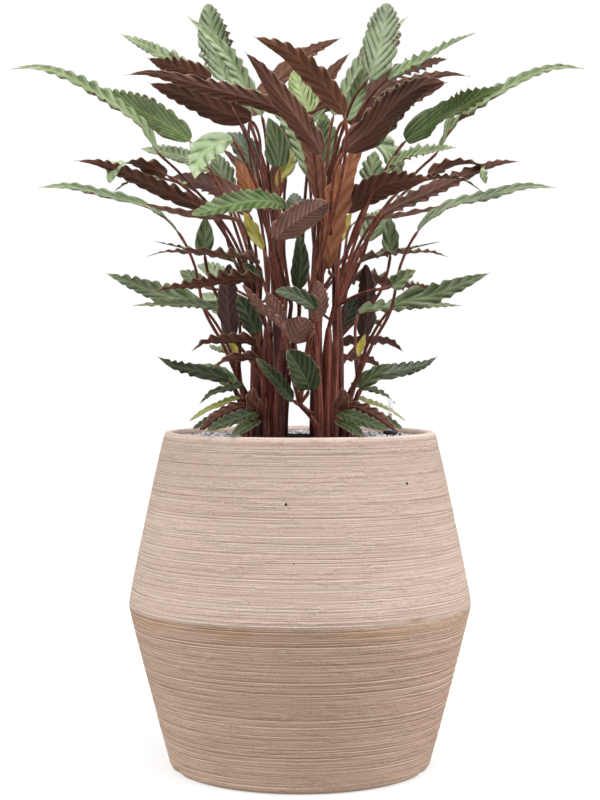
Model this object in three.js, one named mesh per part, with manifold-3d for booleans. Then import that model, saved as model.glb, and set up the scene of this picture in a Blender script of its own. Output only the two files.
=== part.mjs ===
// A potted wavestar calathea: narrow wavy leaves on leafy shoots, in a tall planter of two cones.
// Millimetres, +Z up. The origin is the middle of the planter's underside; the front faces -Y.
import * as THREE from 'three';
import Module from 'manifold-3d';

const wasm = await Module();
wasm.setup();

// Planter
const PLANTER_HEIGHT = 417;
const RIM_RADIUS = 170;
const WAIST_RADIUS = 214;
const WAIST_HEIGHT = 201;
const BASE_RADIUS = 162;
const WALL = 15;
const FLOOR = 16;
const EDGE_ROUND = 6;
const PLANTER_SIDES = 48;

// Soil and mulch
const FIT_GAP = 0.35;
const MULCH_TOP = 411;
const MULCH_DEPTH = 12;
const MULCH_HOLE_RADIUS = 86;
const MULCH_BUMP = 1.6;
const SOIL_MOUND_TOP = 412;
const ROOT_DEPTH = 42;
const SHOOT_SIDES = 6;

// Water gauge, on the right of the plant
const GAUGE_PLACE = [115, 40];
const GAUGE_TUBE_RADIUS = 3.2;
const GAUGE_BORE_RADIUS = 2.2;
const GAUGE_TOP = 457;
const GAUGE_FOOT = 330;
const GAUGE_CAP_RADIUS = 9.5;
const GAUGE_CAP_HEIGHT = 7;
const GAUGE_CAP_SINK = 4;
const GAUGE_FLOAT_HEIGHT = 4;
const GAUGE_FLOAT_MIDDLE = 436;
const GAUGE_SIDES = 16;

// Leaves
const RIB_THICKNESS = 1.6;
const BLADE_FOLD = 0.16;
const BLADE_SPREAD = [0.45, 0.6];
const WAVE = 0.2;
const SCALLOP = 0.1;
const STATION_LENGTH = 20.8;
const STATIONS_MIN = 5;
const STATIONS_MAX = 12;
const PETIOLE_RADIUS = 2;
const PETIOLE_FOOT_RADIUS = 3;
const PETIOLE_STATION = 60;
const FORK_SHARE = 0.7;
const FORK_SINK = 5;

// The viewer stands in front of the plant. Places on a leaf are given as seen from there:
// across and up on the plane through the planter's axis, then how far behind that plane.
const EYE_DISTANCE = 2200;
const EYE_HEIGHT = 518;
const PLANT_AXIS = -3;

const PAIRED_SHOOTS = [
  {
    name: 'tall_left',
    root: [-38, 12],
    fork: [-42, 551, 14],
    radius: 9,
    mirrored: false,
    purple: false,
    leaves: [
      {
        petiole: [[-85, 660, 16], [-150, 739, 15]],
        spread: [[-178, 766, 15], [-198, 799, 17], [-240, 830, 22], [-290, 859, 28], [-328, 870, 30], [-361, 868, 30]],
        width: 19,
        face: 8,
        faceTip: 75,
      },
      {
        petiole: [[-75, 672, 40], [-119, 754, 62]],
        spread: [[-138, 779, 70], [-172, 802, 95], [-210, 822, 145], [-260, 848, 200]],
        width: 36,
        face: 65,
        faceTip: 65,
      },
    ],
  },
  {
    name: 'high_left',
    root: [-24, -22],
    fork: [-35, 641, -20],
    radius: 6,
    mirrored: false,
    purple: true,
    leaves: [
      {
        petiole: [[-52, 754, 10], [-92, 831, 45]],
        spread: [[-116, 856, 60], [-160, 879, 105], [-194, 898, 155], [-224, 912, 205]],
        width: 20,
        face: 60,
        faceTip: 60,
      },
      {
        petiole: [[-60, 766, -30], [-95, 835, -22]],
        spread: [[-112, 854, -20], [-156, 870, -60], [-190, 881, -105]],
        width: 24,
        face: -50,
        faceTip: -50,
      },
      {
        petiole: [[-48, 748, -5], [-52, 789, 5]],
        spread: [[-62, 805, 8], [-92, 812, 0], [-128, 828, -12], [-190, 851, -40]],
        width: 34,
        face: -60,
        faceTip: -60,
      },
    ],
  },
  {
    name: 'crown_left',
    root: [-25, 22],
    fork: [-26, 629, 26],
    radius: 6,
    mirrored: false,
    purple: false,
    leaves: [
      {
        petiole: [[-48, 754, 40], [-75, 835, 58]],
        spread: [[-91, 855, 60], [-104, 891, 55], [-115, 949, 40]],
        width: 40,
        face: 80,
        faceTip: 80,
      },
      {
        petiole: [[-42, 741, 44]],
        spread: [[-64, 804, 42], [-78, 839, 50], [-88, 871, 70]],
        width: 20,
        face: 70,
        faceTip: 70,
      },
      {
        petiole: [[-38, 729, 10]],
        spread: [[-48, 811, -5], [-66, 844, -8], [-86, 879, -15], [-116, 911, -25], [-141, 934, -35]],
        width: 19,
        face: 70,
        faceTip: 70,
      },
    ],
  },
  {
    name: 'reach_left',
    root: [22, -38],
    fork: [22, 604, -45],
    radius: 6,
    mirrored: false,
    purple: true,
    leaves: [
      {
        petiole: [[22, 704, -50], [14, 776, -55]],
        spread: [[2, 801, -60], [-38, 822, -75], [-119, 845, -125], [-188, 862, -165], [-219, 859, -185]],
        width: 20,
        face: -55,
        faceTip: -60,
      },
      {
        petiole: [[29, 704, -98]],
        spread: [[25, 762, -106], [8, 790, -108], [-28, 838, -117], [-50, 869, -123], [-70, 890, -130]],
        width: 27,
        face: -70,
        faceTip: -70,
      },
      {
        petiole: [],
        spread: [[25, 704, -50], [21, 735, -49], [9, 775, -44], [-12, 809, -38]],
        width: 20,
        face: -70,
        faceTip: -70,
      },
      {
        petiole: [[15, 679, -25]],
        spread: [[11, 736, -22], [-1, 774, -21], [-18, 801, -22], [-40, 821, -26]],
        width: 18,
        face: 70,
        faceTip: 70,
      },
    ],
  },
  {
    name: 'arch_left',
    root: [24, -58],
    fork: [10, 591, -85],
    radius: 5,
    mirrored: false,
    purple: true,
    leaves: [
      {
        petiole: [[48, 716, -125], [58, 785, -145]],
        spread: [[54, 811, -150], [31, 844, -165], [-12, 885, -190], [-59, 908, -220]],
        width: 25,
        face: -60,
        faceTip: -60,
      },
    ],
  },
  {
    name: 'inner_left',
    root: [-28, -50],
    fork: [-18, 554, -64],
    radius: 5,
    mirrored: false,
    purple: false,
    leaves: [
      {
        petiole: [[-25, 685, -80]],
        spread: [[-26, 746, -88], [-30, 779, -95], [-40, 809, -100]],
        width: 28,
        face: 75,
        faceTip: 75,
      },
      {
        petiole: [],
        spread: [[-28, 722, -60], [-15, 748, -62], [-11, 770, -60]],
        width: 15,
        face: 60,
        faceTip: 60,
      },
      {
        petiole: [[-32, 604, -88]],
        spread: [[-46, 644, -98], [-58, 665, -104], [-71, 692, -108]],
        width: 16,
        face: 60,
        faceTip: 60,
      },
      {
        petiole: [[-48, 704, -100], [-74, 764, -130]],
        spread: [[-84, 779, -140], [-110, 771, -172], [-125, 754, -198], [-131, 729, -225]],
        width: 36,
        face: 70,
        faceTip: 70,
      },
    ],
  },
  {
    name: 'middle_left',
    root: [-48, 45],
    fork: [-52, 579, 55],
    radius: 5,
    mirrored: false,
    purple: false,
    leaves: [
      {
        petiole: [[-55, 641, 50]],
        spread: [[-64, 689, 50], [-106, 721, 95], [-138, 729, 130], [-169, 732, 170]],
        width: 32,
        face: -65,
        faceTip: -65,
      },
      {
        petiole: [[-75, 654, 75], [-98, 716, 85]],
        spread: [[-115, 741, 92], [-141, 758, 130], [-169, 765, 170], [-200, 770, 225]],
        width: 22,
        face: 60,
        faceTip: 60,
      },
      {
        petiole: [[-94, 666, 50]],
        spread: [[-125, 712, 42], [-169, 731, 50], [-206, 731, 62], [-234, 715, 72]],
        width: 18,
        face: 0,
        faceTip: 0,
      },
      {
        petiole: [[-88, 591, 90]],
        spread: [[-121, 598, 110], [-138, 610, 120], [-151, 618, 130]],
        width: 18,
        face: 70,
        faceTip: 70,
      },
    ],
  },
  {
    name: 'long_left',
    root: [-56, -25],
    fork: [-55, 579, -36],
    radius: 6,
    mirrored: false,
    purple: true,
    leaves: [
      {
        petiole: [[-85, 638, -34], [-96, 671, -30]],
        spread: [[-110, 688, -32], [-169, 716, -70], [-219, 739, -102], [-252, 751, -122], [-282, 754, -140]],
        width: 20,
        face: -60,
        faceTip: -60,
      },
      {
        petiole: [[-62, 641, -66]],
        spread: [[-71, 675, -88], [-138, 686, -135], [-200, 702, -180]],
        width: 15,
        face: -30,
        faceTip: -30,
      },
      {
        petiole: [[-81, 641, -60], [-125, 704, -75]],
        spread: [[-166, 736, -80], [-206, 750, -95], [-228, 748, -105], [-238, 726, -112]],
        width: 22,
        face: -70,
        faceTip: 60,
      },
    ],
  },
  {
    name: 'outer_left',
    root: [-60, 8],
    fork: [-80, 489, 10],
    radius: 6,
    mirrored: false,
    purple: false,
    leaves: [
      {
        petiole: [[-98, 529, -5], [-119, 568, -10], [-132, 626, -18]],
        spread: [[-154, 668, -22], [-188, 696, -32], [-238, 710, -42], [-288, 722, -52], [-326, 721, -62]],
        width: 19,
        face: 10,
        faceTip: 64,
      },
      {
        petiole: [[-92, 529, 22]],
        spread: [[-125, 574, 28], [-169, 586, 40], [-216, 604, 55], [-244, 615, 62]],
        width: 25,
        face: 60,
        faceTip: 60,
      },
      {
        petiole: [],
        spread: [[-79, 510, -2], [-82, 524, -3], [-88, 539, -4]],
        width: 9,
        face: 80,
        faceTip: 80,
      },
      {
        petiole: [[-75, 522, -15]],
        spread: [[-80, 564, -30], [-125, 574, -60], [-162, 575, -95], [-209, 574, -140]],
        width: 16,
        face: 50,
        faceTip: 50,
      },
    ],
  },
  {
    name: 'side_left',
    root: [-48, -45],
    fork: [-58, 541, -64],
    radius: 5,
    mirrored: false,
    purple: false,
    leaves: [
      {
        petiole: [],
        spread: [[-75, 622, -80], [-125, 640, -68], [-181, 654, -60]],
        width: 20,
        face: 5,
        faceTip: 5,
      },
      {
        petiole: [],
        spread: [[-52, 625, -80], [-100, 636, -100], [-165, 641, -132], [-191, 635, -150]],
        width: 20,
        face: -14,
        faceTip: -14,
      },
      {
        petiole: [],
        spread: [[-52, 601, -85], [-125, 600, -145], [-156, 596, -180], [-185, 592, -215]],
        width: 24,
        face: -35,
        faceTip: -35,
      },
      {
        petiole: [],
        spread: [[-50, 608, -82], [-60, 616, -88], [-72, 626, -94]],
        width: 13,
        face: 60,
        faceTip: 60,
      },
      {
        petiole: [[-106, 591, -70]],
        spread: [[-119, 639, -78], [-118, 664, -80], [-118, 686, -84]],
        width: 20,
        face: 80,
        faceTip: 80,
      },
    ],
  },
  {
    name: 'low_left',
    root: [-40, -66],
    fork: [-48, 489, -78],
    radius: 5,
    mirrored: false,
    purple: true,
    leaves: [
      {
        petiole: [],
        spread: [[-52, 524, -85], [-85, 530, -100], [-118, 528, -115], [-136, 516, -125]],
        width: 20,
        face: -35,
        faceTip: -35,
      },
      {
        petiole: [],
        spread: [[-55, 506, -90], [-85, 508, -110], [-110, 495, -130]],
        width: 16,
        face: -40,
        faceTip: -40,
      },
      {
        petiole: [[-68, 514, -84]],
        spread: [[-84, 535, -88], [-90, 579, -90], [-88, 626, -88]],
        width: 24,
        face: -75,
        faceTip: -75,
      },
      {
        petiole: [],
        spread: [[-55, 539, -95], [-66, 564, -102], [-78, 586, -110]],
        width: 22,
        face: 70,
        faceTip: 70,
      },
    ],
  },
  {
    name: 'foot_left',
    root: [-69, -8],
    fork: [-71, 444, -10],
    radius: 4,
    mirrored: false,
    purple: false,
    leaves: [
      {
        petiole: [[-80, 464, -14]],
        spread: [[-90, 481, -18], [-119, 490, -36], [-160, 500, -66], [-179, 511, -76]],
        width: 19,
        face: 60,
        faceTip: 60,
      },
      {
        petiole: [],
        spread: [[-82, 472, -4], [-102, 490, 2], [-121, 502, 10]],
        width: 18,
        face: 70,
        faceTip: 70,
      },
      {
        petiole: [],
        spread: [[-71, 474, -30], [-88, 471, -45], [-109, 465, -62], [-126, 451, -85]],
        width: 9,
        face: 50,
        faceTip: 50,
      },
      {
        petiole: [],
        spread: [[-75, 458, -30], [-96, 452, -45], [-116, 444, -60], [-138, 430, -80]],
        width: 8,
        face: 40,
        faceTip: 40,
      },
    ],
  },
  {
    name: 'skirt_left',
    root: [-65, -42],
    fork: [-66, 435, -46],
    radius: 4,
    mirrored: true,
    purple: false,
    leaves: [
      {
        petiole: [],
        spread: [[-71, 444, -58], [-104, 434, -74], [-134, 420, -92]],
        width: 13,
        face: 55,
        faceTip: 55,
      },
      {
        petiole: [],
        spread: [[-70, 448, -72], [-98, 438, -92], [-126, 418, -112]],
        width: 14,
        face: -60,
        faceTip: -60,
      },
      {
        petiole: [],
        spread: [[-55, 440, -80], [-82, 431, -112], [-116, 418, -140]],
        width: 17,
        face: 60,
        faceTip: 60,
      },
      {
        petiole: [],
        spread: [[-55, 430, -85], [-68, 422, -120], [-85, 411, -155]],
        width: 15,
        face: 60,
        faceTip: 60,
      },
      {
        petiole: [],
        spread: [[-52, 444, -85], [-60, 456, -95], [-58, 471, -100]],
        width: 14,
        face: -70,
        faceTip: -70,
      },
    ],
  },
];

const SINGLE_SHOOTS = [
  {
    name: 'back_a',
    root: [19, 76],
    fork: [15, 579, 110],
    radius: 4,
    purple: false,
    leaves: [
      {
        petiole: [[28, 672, 145]],
        spread: [[35, 731, 165], [32, 779, 205], [28, 819, 255]],
        width: 32,
        face: 50,
        faceTip: 30,
      },
      {
        petiole: [[6, 641, 150]],
        spread: [[0, 674, 190], [-4, 698, 235], [-8, 716, 285]],
        width: 30,
        face: 40,
        faceTip: 20,
      },
      {
        petiole: [[50, 616, 150]],
        spread: [[82, 654, 178], [100, 685, 210], [112, 698, 255]],
        width: 32,
        face: 30,
        faceTip: 10,
      },
      {
        petiole: [],
        spread: [[45, 554, 150], [78, 559, 185], [105, 546, 225]],
        width: 24,
        face: 10,
        faceTip: 0,
      },
      {
        petiole: [[65, 654, 118]],
        spread: [[88, 724, 116], [90, 745, 118], [94, 768, 122]],
        width: 27,
        face: 60,
        faceTip: 60,
      },
    ],
  },
  {
    name: 'back_b',
    root: [-35, 70],
    fork: [-40, 591, 100],
    radius: 4,
    purple: false,
    leaves: [
      {
        petiole: [[-48, 679, 140]],
        spread: [[-56, 741, 180], [-75, 779, 225], [-90, 791, 275]],
        width: 34,
        face: 30,
        faceTip: 10,
      },
      {
        petiole: [[-48, 579, 130]],
        spread: [[-92, 601, 165], [-110, 618, 205], [-128, 626, 250]],
        width: 28,
        face: 45,
        faceTip: 30,
      },
      {
        petiole: [[-44, 648, 104]],
        spread: [[-54, 700, 102], [-65, 724, 103], [-80, 756, 106]],
        width: 26,
        face: -68,
        faceTip: -68,
      },
      {
        petiole: [[-38, 654, 130]],
        spread: [[-48, 711, 150], [-71, 744, 158], [-98, 771, 168]],
        width: 15,
        face: -60,
        faceTip: -60,
      },
      {
        petiole: [[-62, 648, 150]],
        spread: [[-88, 716, 190], [-98, 739, 205], [-106, 766, 230]],
        width: 28,
        face: 60,
        faceTip: 60,
      },
    ],
  },
  {
    name: 'back_c',
    root: [-68, 30],
    fork: [-75, 479, 45],
    radius: 4,
    purple: false,
    leaves: [
      {
        petiole: [],
        spread: [[-85, 510, 75], [-100, 522, 115], [-110, 519, 160]],
        width: 24,
        face: 10,
        faceTip: 0,
      },
      {
        petiole: [[-80, 529, 80]],
        spread: [[-90, 556, 105], [-105, 576, 140], [-118, 590, 190]],
        width: 26,
        face: 35,
        faceTip: 20,
      },
    ],
  },
  {
    name: 'front',
    root: [-24, -70],
    fork: [-10, 579, -86],
    radius: 5,
    purple: false,
    leaves: [
      {
        petiole: [[-25, 626, -120]],
        spread: [[-29, 656, -150], [-5, 678, -175], [35, 702, -215]],
        width: 32,
        face: -70,
        faceTip: -70,
      },
      {
        petiole: [[-20, 641, -90]],
        spread: [[-20, 695, -110], [-48, 704, -140], [-75, 701, -165], [-135, 686, -215]],
        width: 26,
        face: 70,
        faceTip: 70,
      },
    ],
  },
  {
    name: 'right_big',
    root: [49, 10],
    fork: [42, 616, -8],
    radius: 6,
    purple: true,
    leaves: [
      {
        petiole: [[38, 698, -96], [45, 746, -103]],
        spread: [[56, 766, -102], [88, 791, -106], [125, 829, -118], [156, 848, -130], [185, 851, -142]],
        width: 37,
        face: -65,
        faceTip: -65,
      },
      {
        petiole: [],
        spread: [[36, 619, -44], [41, 676, -72], [59, 741, -85], [84, 782, -75]],
        width: 34,
        face: -65,
        faceTip: -65,
      },
      {
        petiole: [[56, 729, 30]],
        spread: [[78, 816, 60], [100, 841, 80], [125, 864, 100]],
        width: 36,
        face: -60,
        faceTip: -60,
      },
    ],
  },
  {
    name: 'centre_top',
    root: [-20, 0],
    fork: [0, 566, 2],
    radius: 5,
    purple: false,
    leaves: [
      {
        petiole: [[6, 704, 0], [12, 779, 5]],
        spread: [[10, 814, 8], [2, 839, 5], [-8, 866, 0]],
        width: 32,
        face: 75,
        faceTip: 75,
      },
      {
        petiole: [],
        spread: [[-2, 596, -20], [1, 631, -24], [-2, 668, -25]],
        width: 20,
        face: 70,
        faceTip: 70,
      },
    ],
  },
  {
    name: 'centre_low',
    root: [22, -78],
    fork: [-4, 454, -90],
    radius: 4,
    purple: true,
    leaves: [
      {
        petiole: [[10, 529, -110]],
        spread: [[19, 568, -120], [-5, 586, -135], [-31, 592, -150]],
        width: 18,
        face: 70,
        faceTip: 70,
      },
      {
        petiole: [],
        spread: [[-5, 526, -110], [-1, 544, -120], [2, 560, -130]],
        width: 36,
        face: -60,
        faceTip: -60,
      },
      {
        petiole: [],
        spread: [[11, 469, -105], [0, 494, -125], [-16, 518, -140]],
        width: 36,
        face: 65,
        faceTip: 65,
      },
      {
        petiole: [],
        spread: [[-9, 456, -100], [-31, 482, -120], [-55, 508, -140]],
        width: 16,
        face: 60,
        faceTip: 60,
      },
      {
        petiole: [[-14, 504, -94]],
        spread: [[-22, 548, -100], [-32, 571, -112], [-41, 590, -120]],
        width: 18,
        face: -60,
        faceTip: -60,
      },
      {
        petiole: [[12, 522, -92]],
        spread: [[18, 555, -96], [25, 579, -104], [21, 605, -110]],
        width: 19,
        face: -60,
        faceTip: -60,
      },
      {
        petiole: [[-11, 510, -125]],
        spread: [[-20, 544, -135], [-48, 571, -155], [-72, 600, -175]],
        width: 10,
        face: -40,
        faceTip: -40,
      },
    ],
  },
];

const UP = new THREE.Vector3(0, 0, 1);
const TO_VIEWER = new THREE.Vector3(0, -1, 0);

// Place in the model of a point seen at (across, up), a given depth behind the axis plane
function seen([across, up, depth]) {
  const scale = (EYE_DISTANCE + depth) / EYE_DISTANCE;
  return new THREE.Vector3(across * scale, depth, EYE_HEIGHT + (up - EYE_HEIGHT) * scale);
}

// Closed solid from rings of equally many points. Each face's diagonal starts on an even point,
// so the two faces of a thin blade are split alike.
function loft(rings, tip = null) {
  const sides = rings[0].length;
  const points = rings.flat();
  const faces = [];
  const wall = (a, b, c, d, even) => {
    if (even) faces.push([a, b, c], [a, c, d]);
    else faces.push([a, b, d], [b, c, d]);
  };
  for (let k = 0; k + 1 < rings.length; k += 1) {
    for (let i = 0; i < sides; i += 1) {
      const j = (i + 1) % sides;
      const low = k * sides;
      const high = low + sides;
      wall(low + i, low + j, high + j, high + i, i % 2 === 0);
    }
  }
  const last = (rings.length - 1) * sides;
  for (let i = 1; i + 1 < sides; i += 1) faces.push([0, i + 1, i]);
  if (tip) {
    points.push(tip);
    for (let i = 0; i < sides; i += 1) faces.push([last + i, last + (i + 1) % sides, points.length - 1]);
  } else {
    for (let i = 1; i + 1 < sides; i += 1) faces.push([last, last + i, last + i + 1]);
  }
  return solidFrom(points, faces);
}

function solidFrom(points, faces) {
  const mesh = new wasm.Mesh({
    numProp: 3,
    vertProperties: new Float32Array(points.flatMap((point) => point.toArray())),
    triVerts: new Uint32Array(faces.flat()),
  });
  return new wasm.Manifold(mesh);
}

function regularRing(radius, sides, height, [x, y] = [0, 0]) {
  return Array.from({ length: sides }, (unused, i) => {
    const angle = (2 * Math.PI * i) / sides;
    return new THREE.Vector3(x + radius * Math.cos(angle), y + radius * Math.sin(angle), height);
  });
}

// Solid of revolution about the vertical axis from [radius, height] pairs that start and end on it
function turned(profile, sides, shape = (point) => point) {
  const rings = profile.slice(1, -1);
  const points = [new THREE.Vector3(0, 0, profile[0][1])];
  for (const [radius, height] of rings) points.push(...regularRing(radius, sides, height).map(shape));
  points.push(new THREE.Vector3(0, 0, profile[profile.length - 1][1]));
  const faces = [];
  for (let i = 0; i < sides; i += 1) {
    const j = (i + 1) % sides;
    faces.push([0, 1 + j, 1 + i]);
    for (let k = 0; k + 1 < rings.length; k += 1) {
      const low = 1 + k * sides;
      const high = low + sides;
      faces.push([low + i, low + j, high + j], [low + i, high + j, high + i]);
    }
    const last = 1 + (rings.length - 1) * sides;
    faces.push([last + i, last + j, points.length - 1]);
  }
  return solidFrom(points, faces);
}

// Ring of revolution from [radius, height] pairs that close on themselves, with the outside walked upward
function turnedRing(profile, sides, shape = (point) => point) {
  const points = profile.flatMap(([radius, height]) => regularRing(radius, sides, height).map(shape));
  const faces = [];
  for (let k = 0; k < profile.length; k += 1) {
    const low = k * sides;
    const high = ((k + 1) % profile.length) * sides;
    for (let i = 0; i < sides; i += 1) {
      const j = (i + 1) % sides;
      faces.push([low + i, low + j, high + j], [low + i, high + j, high + i]);
    }
  }
  return solidFrom(points, faces);
}

// Points at equal steps along a curve, between two of its parameters, each with its tangent
function walk(curve, from, to, steps) {
  const fine = 160;
  const parameter = (i) => from + ((to - from) * i) / fine;
  const samples = Array.from({ length: fine + 1 }, (unused, i) => curve.getPoint(parameter(i)));
  const lengths = [0];
  for (let i = 1; i <= fine; i += 1) lengths.push(lengths[i - 1] + samples[i].distanceTo(samples[i - 1]));
  const total = lengths[fine];
  const places = [];
  let at = 1;
  for (let k = 0; k <= steps; k += 1) {
    const goal = (total * k) / steps;
    while (at < fine && lengths[at] < goal) at += 1;
    const share = (goal - lengths[at - 1]) / (lengths[at] - lengths[at - 1]);
    places.push({
      point: samples[at - 1].clone().lerp(samples[at], share),
      tangent: samples[at].clone().sub(samples[at - 1]).normalize(),
    });
  }
  return { places, total };
}

// Normal of the upper side: 0 degrees faces up, 90 faces the viewer, -90 turns the underside to the viewer
function upperNormal(tangent, degrees) {
  const angle = THREE.MathUtils.degToRad(degrees);
  const wish = UP.clone().multiplyScalar(Math.cos(angle)).addScaledVector(TO_VIEWER, Math.sin(angle));
  return wish.addScaledVector(tangent, -wish.dot(tangent)).normalize();
}

const [RISE, FALL] = BLADE_SPREAD;
const FULLEST = RISE / (RISE + FALL);
const SPREAD_PEAK = FULLEST ** RISE * (1 - FULLEST) ** FALL;

// Half width at a share of the blade's length: narrow at the foot, fullest before the middle, pointed
function halfWidth(width, share) {
  const spread = (share ** RISE * (1 - share) ** FALL) / SPREAD_PEAK;
  return PETIOLE_RADIUS * (1 - share) + (width * spread) / 2;
}

// Rings of a petiole: slender and four-sided, set like the blade that follows
function petioleRings(curve, to, face) {
  const rough = walk(curve, 0, to, 1);
  const steps = Math.max(2, Math.round(rough.total / PETIOLE_STATION));
  return walk(curve, 0, to, steps).places.slice(0, -1).map(({ point, tangent }, k) => {
    const normal = upperNormal(tangent, face);
    const side = tangent.clone().cross(normal);
    const radius = THREE.MathUtils.lerp(PETIOLE_FOOT_RADIUS, PETIOLE_RADIUS, k / steps);
    return [side, normal.clone().negate(), side.clone().negate(), normal]
      .map((way) => point.clone().addScaledVector(way, radius));
  });
}

// Rings of a thin blade with a raised rib, folded up slightly along it, its edges waving in turn
function bladeRings(curve, from, width, face, faceTip, phase) {
  const rough = walk(curve, from, 1, 1);
  const steps = Math.round(THREE.MathUtils.clamp(rough.total / STATION_LENGTH, STATIONS_MIN, STATIONS_MAX));
  return walk(curve, from, 1, steps).places.slice(0, -1).map(({ point, tangent }, k) => {
    const share = k / steps;
    const normal = upperNormal(tangent, THREE.MathUtils.lerp(face, faceTip, share));
    const side = tangent.clone().cross(normal);
    const half = halfWidth(width, share);
    const swing = k === 0 ? 0 : (-1) ** (k + phase);
    const edge = (sign) => point.clone()
      .addScaledVector(side, sign * half * (1 + SCALLOP * sign * swing))
      .addScaledVector(normal, half * (BLADE_FOLD + WAVE * sign * swing));
    const ribHalf = k === 0 ? PETIOLE_RADIUS * 0.8 : RIB_THICKNESS / 2;
    const rib = (sign) => point.clone().addScaledVector(normal, sign * ribHalf);
    return [edge(1), rib(-1), edge(-1), rib(1)];
  });
}

// A round stalk along a curve, tapering, with any number of sides
function stalk(places, radiusAt, sides) {
  let side = new THREE.Vector3(1, 0, 0);
  const rings = places.map(({ point, tangent }, k) => {
    side = side.addScaledVector(tangent, -side.dot(tangent)).normalize();
    const other = tangent.clone().cross(side);
    const radius = radiusAt(k / (places.length - 1));
    return Array.from({ length: sides }, (unused, i) => {
      const angle = (2 * Math.PI * i) / sides;
      return point.clone()
        .addScaledVector(side, radius * Math.cos(angle))
        .addScaledVector(other, radius * Math.sin(angle));
    });
  });
  return loft(rings);
}

// One shoot: a sheath that stands upright in the soil and leans to its fork, then petioles and blades
function shootSolid({ root, fork, radius, leaves }) {
  const foot = new THREE.Vector3(root[0], root[1], SOIL_MOUND_TOP - ROOT_DEPTH);
  const collar = new THREE.Vector3(root[0], root[1], SOIL_MOUND_TOP + 4);
  const top = seen(fork);
  const lean = collar.clone().setZ(THREE.MathUtils.lerp(collar.z, top.z, 0.4));
  const rise = new THREE.QuadraticBezierCurve3(collar, lean, top);
  const steps = Math.max(2, Math.round(collar.distanceTo(top) / PETIOLE_STATION));
  const { places } = walk(rise, 0, 1, steps);
  places.unshift({ point: foot, tangent: UP.clone() });
  places[1].tangent = UP.clone();
  const sheath = stalk(places, (share) => radius * (1 - (1 - FORK_SHARE) * share ** 2), SHOOT_SIDES);
  let solid = sheath;
  leaves.forEach(({ petiole, spread, width, face, faceTip }, index) => {
    const start = top.clone().addScaledVector(rise.getTangent(1), -FORK_SINK);
    const marks = [start, ...petiole.map(seen), ...spread.map(seen)];
    const curve = new THREE.CatmullRomCurve3(marks);
    const bladeFrom = (1 + petiole.length) / (marks.length - 1);
    const rings = [
      ...petioleRings(curve, bladeFrom, face),
      ...bladeRings(curve, bladeFrom, width, face, faceTip, index),
    ];
    solid = solid.add(loft(rings, marks[marks.length - 1]));
  });
  return solid;
}

// The twin of a shoot on the other side: turned half round the plant's upright axis, or its mirror image
function twin(shoot) {
  const across = (value) => 2 * PLANT_AXIS - value;
  const behind = (value) => (shoot.mirrored ? value : -value);
  const point = ([x, up, depth]) => [across(x), up, behind(depth)];
  return {
    ...shoot,
    name: shoot.name.replace('left', 'right'),
    root: [across(shoot.root[0]), behind(shoot.root[1])],
    fork: point(shoot.fork),
    leaves: shoot.leaves.map((leaf) => ({
      ...leaf,
      petiole: leaf.petiole.map(point),
      spread: leaf.spread.map(point),
    })),
  };
}

const allShoots = [...PAIRED_SHOOTS.flatMap((shoot) => [shoot, twin(shoot)]), ...SINGLE_SHOOTS];

// Radius of the planter's outside at a height
function outerRadius(height) {
  const { mapLinear } = THREE.MathUtils;
  if (height < WAIST_HEIGHT) return mapLinear(height, 0, WAIST_HEIGHT, BASE_RADIUS, WAIST_RADIUS);
  return mapLinear(height, WAIST_HEIGHT, PLANTER_HEIGHT, WAIST_RADIUS, RIM_RADIUS);
}

function planterSolid() {
  const waistEase = 9;
  const inside = (height) => outerRadius(height) - WALL;
  return turned([
    [0, 0],
    [BASE_RADIUS - EDGE_ROUND, 0],
    [outerRadius(EDGE_ROUND) - 1, EDGE_ROUND - 1],
    [outerRadius(WAIST_HEIGHT - waistEase), WAIST_HEIGHT - waistEase],
    [WAIST_RADIUS - 1, WAIST_HEIGHT],
    [outerRadius(WAIST_HEIGHT + waistEase), WAIST_HEIGHT + waistEase],
    [outerRadius(PLANTER_HEIGHT - EDGE_ROUND), PLANTER_HEIGHT - EDGE_ROUND],
    [RIM_RADIUS - 4, PLANTER_HEIGHT],
    [RIM_RADIUS - WALL + 3, PLANTER_HEIGHT],
    [inside(PLANTER_HEIGHT - EDGE_ROUND), PLANTER_HEIGHT - EDGE_ROUND],
    [inside(WAIST_HEIGHT), WAIST_HEIGHT],
    [inside(FLOOR), FLOOR],
    [0, FLOOR],
  ], PLANTER_SIDES);
}

// Grain of the mulch: a few crossed waves, none at the two edges of the ring
function bumpyTop(point) {
  const bump = Math.sin(point.x * 0.31) * Math.cos(point.y * 0.27) + Math.sin((point.x - point.y) * 0.19);
  if (point.z > MULCH_TOP - 0.5) point.z += MULCH_BUMP * bump;
  return point;
}

function mulchSolid() {
  const outer = (height) => outerRadius(height) - WALL - FIT_GAP;
  const bottom = MULCH_TOP - MULCH_DEPTH;
  const edge = MULCH_TOP - 3;
  return turnedRing([
    [MULCH_HOLE_RADIUS, bottom],
    [outer(bottom), bottom],
    [outer(edge), edge],
    [outer(MULCH_TOP) - 12, MULCH_TOP],
    [MULCH_HOLE_RADIUS + 10, MULCH_TOP],
  ], PLANTER_SIDES, bumpyTop);
}

function prism(place, radius, sides, bottom, top) {
  return loft([regularRing(radius, sides, bottom, place), regularRing(radius, sides, top, place)]);
}

// A plain hole, open at the top, around something round that stands in the soil
function plainHole(place, radius, sides, bottom) {
  return prism(place, radius + FIT_GAP, sides, bottom - FIT_GAP, PLANTER_HEIGHT);
}

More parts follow.
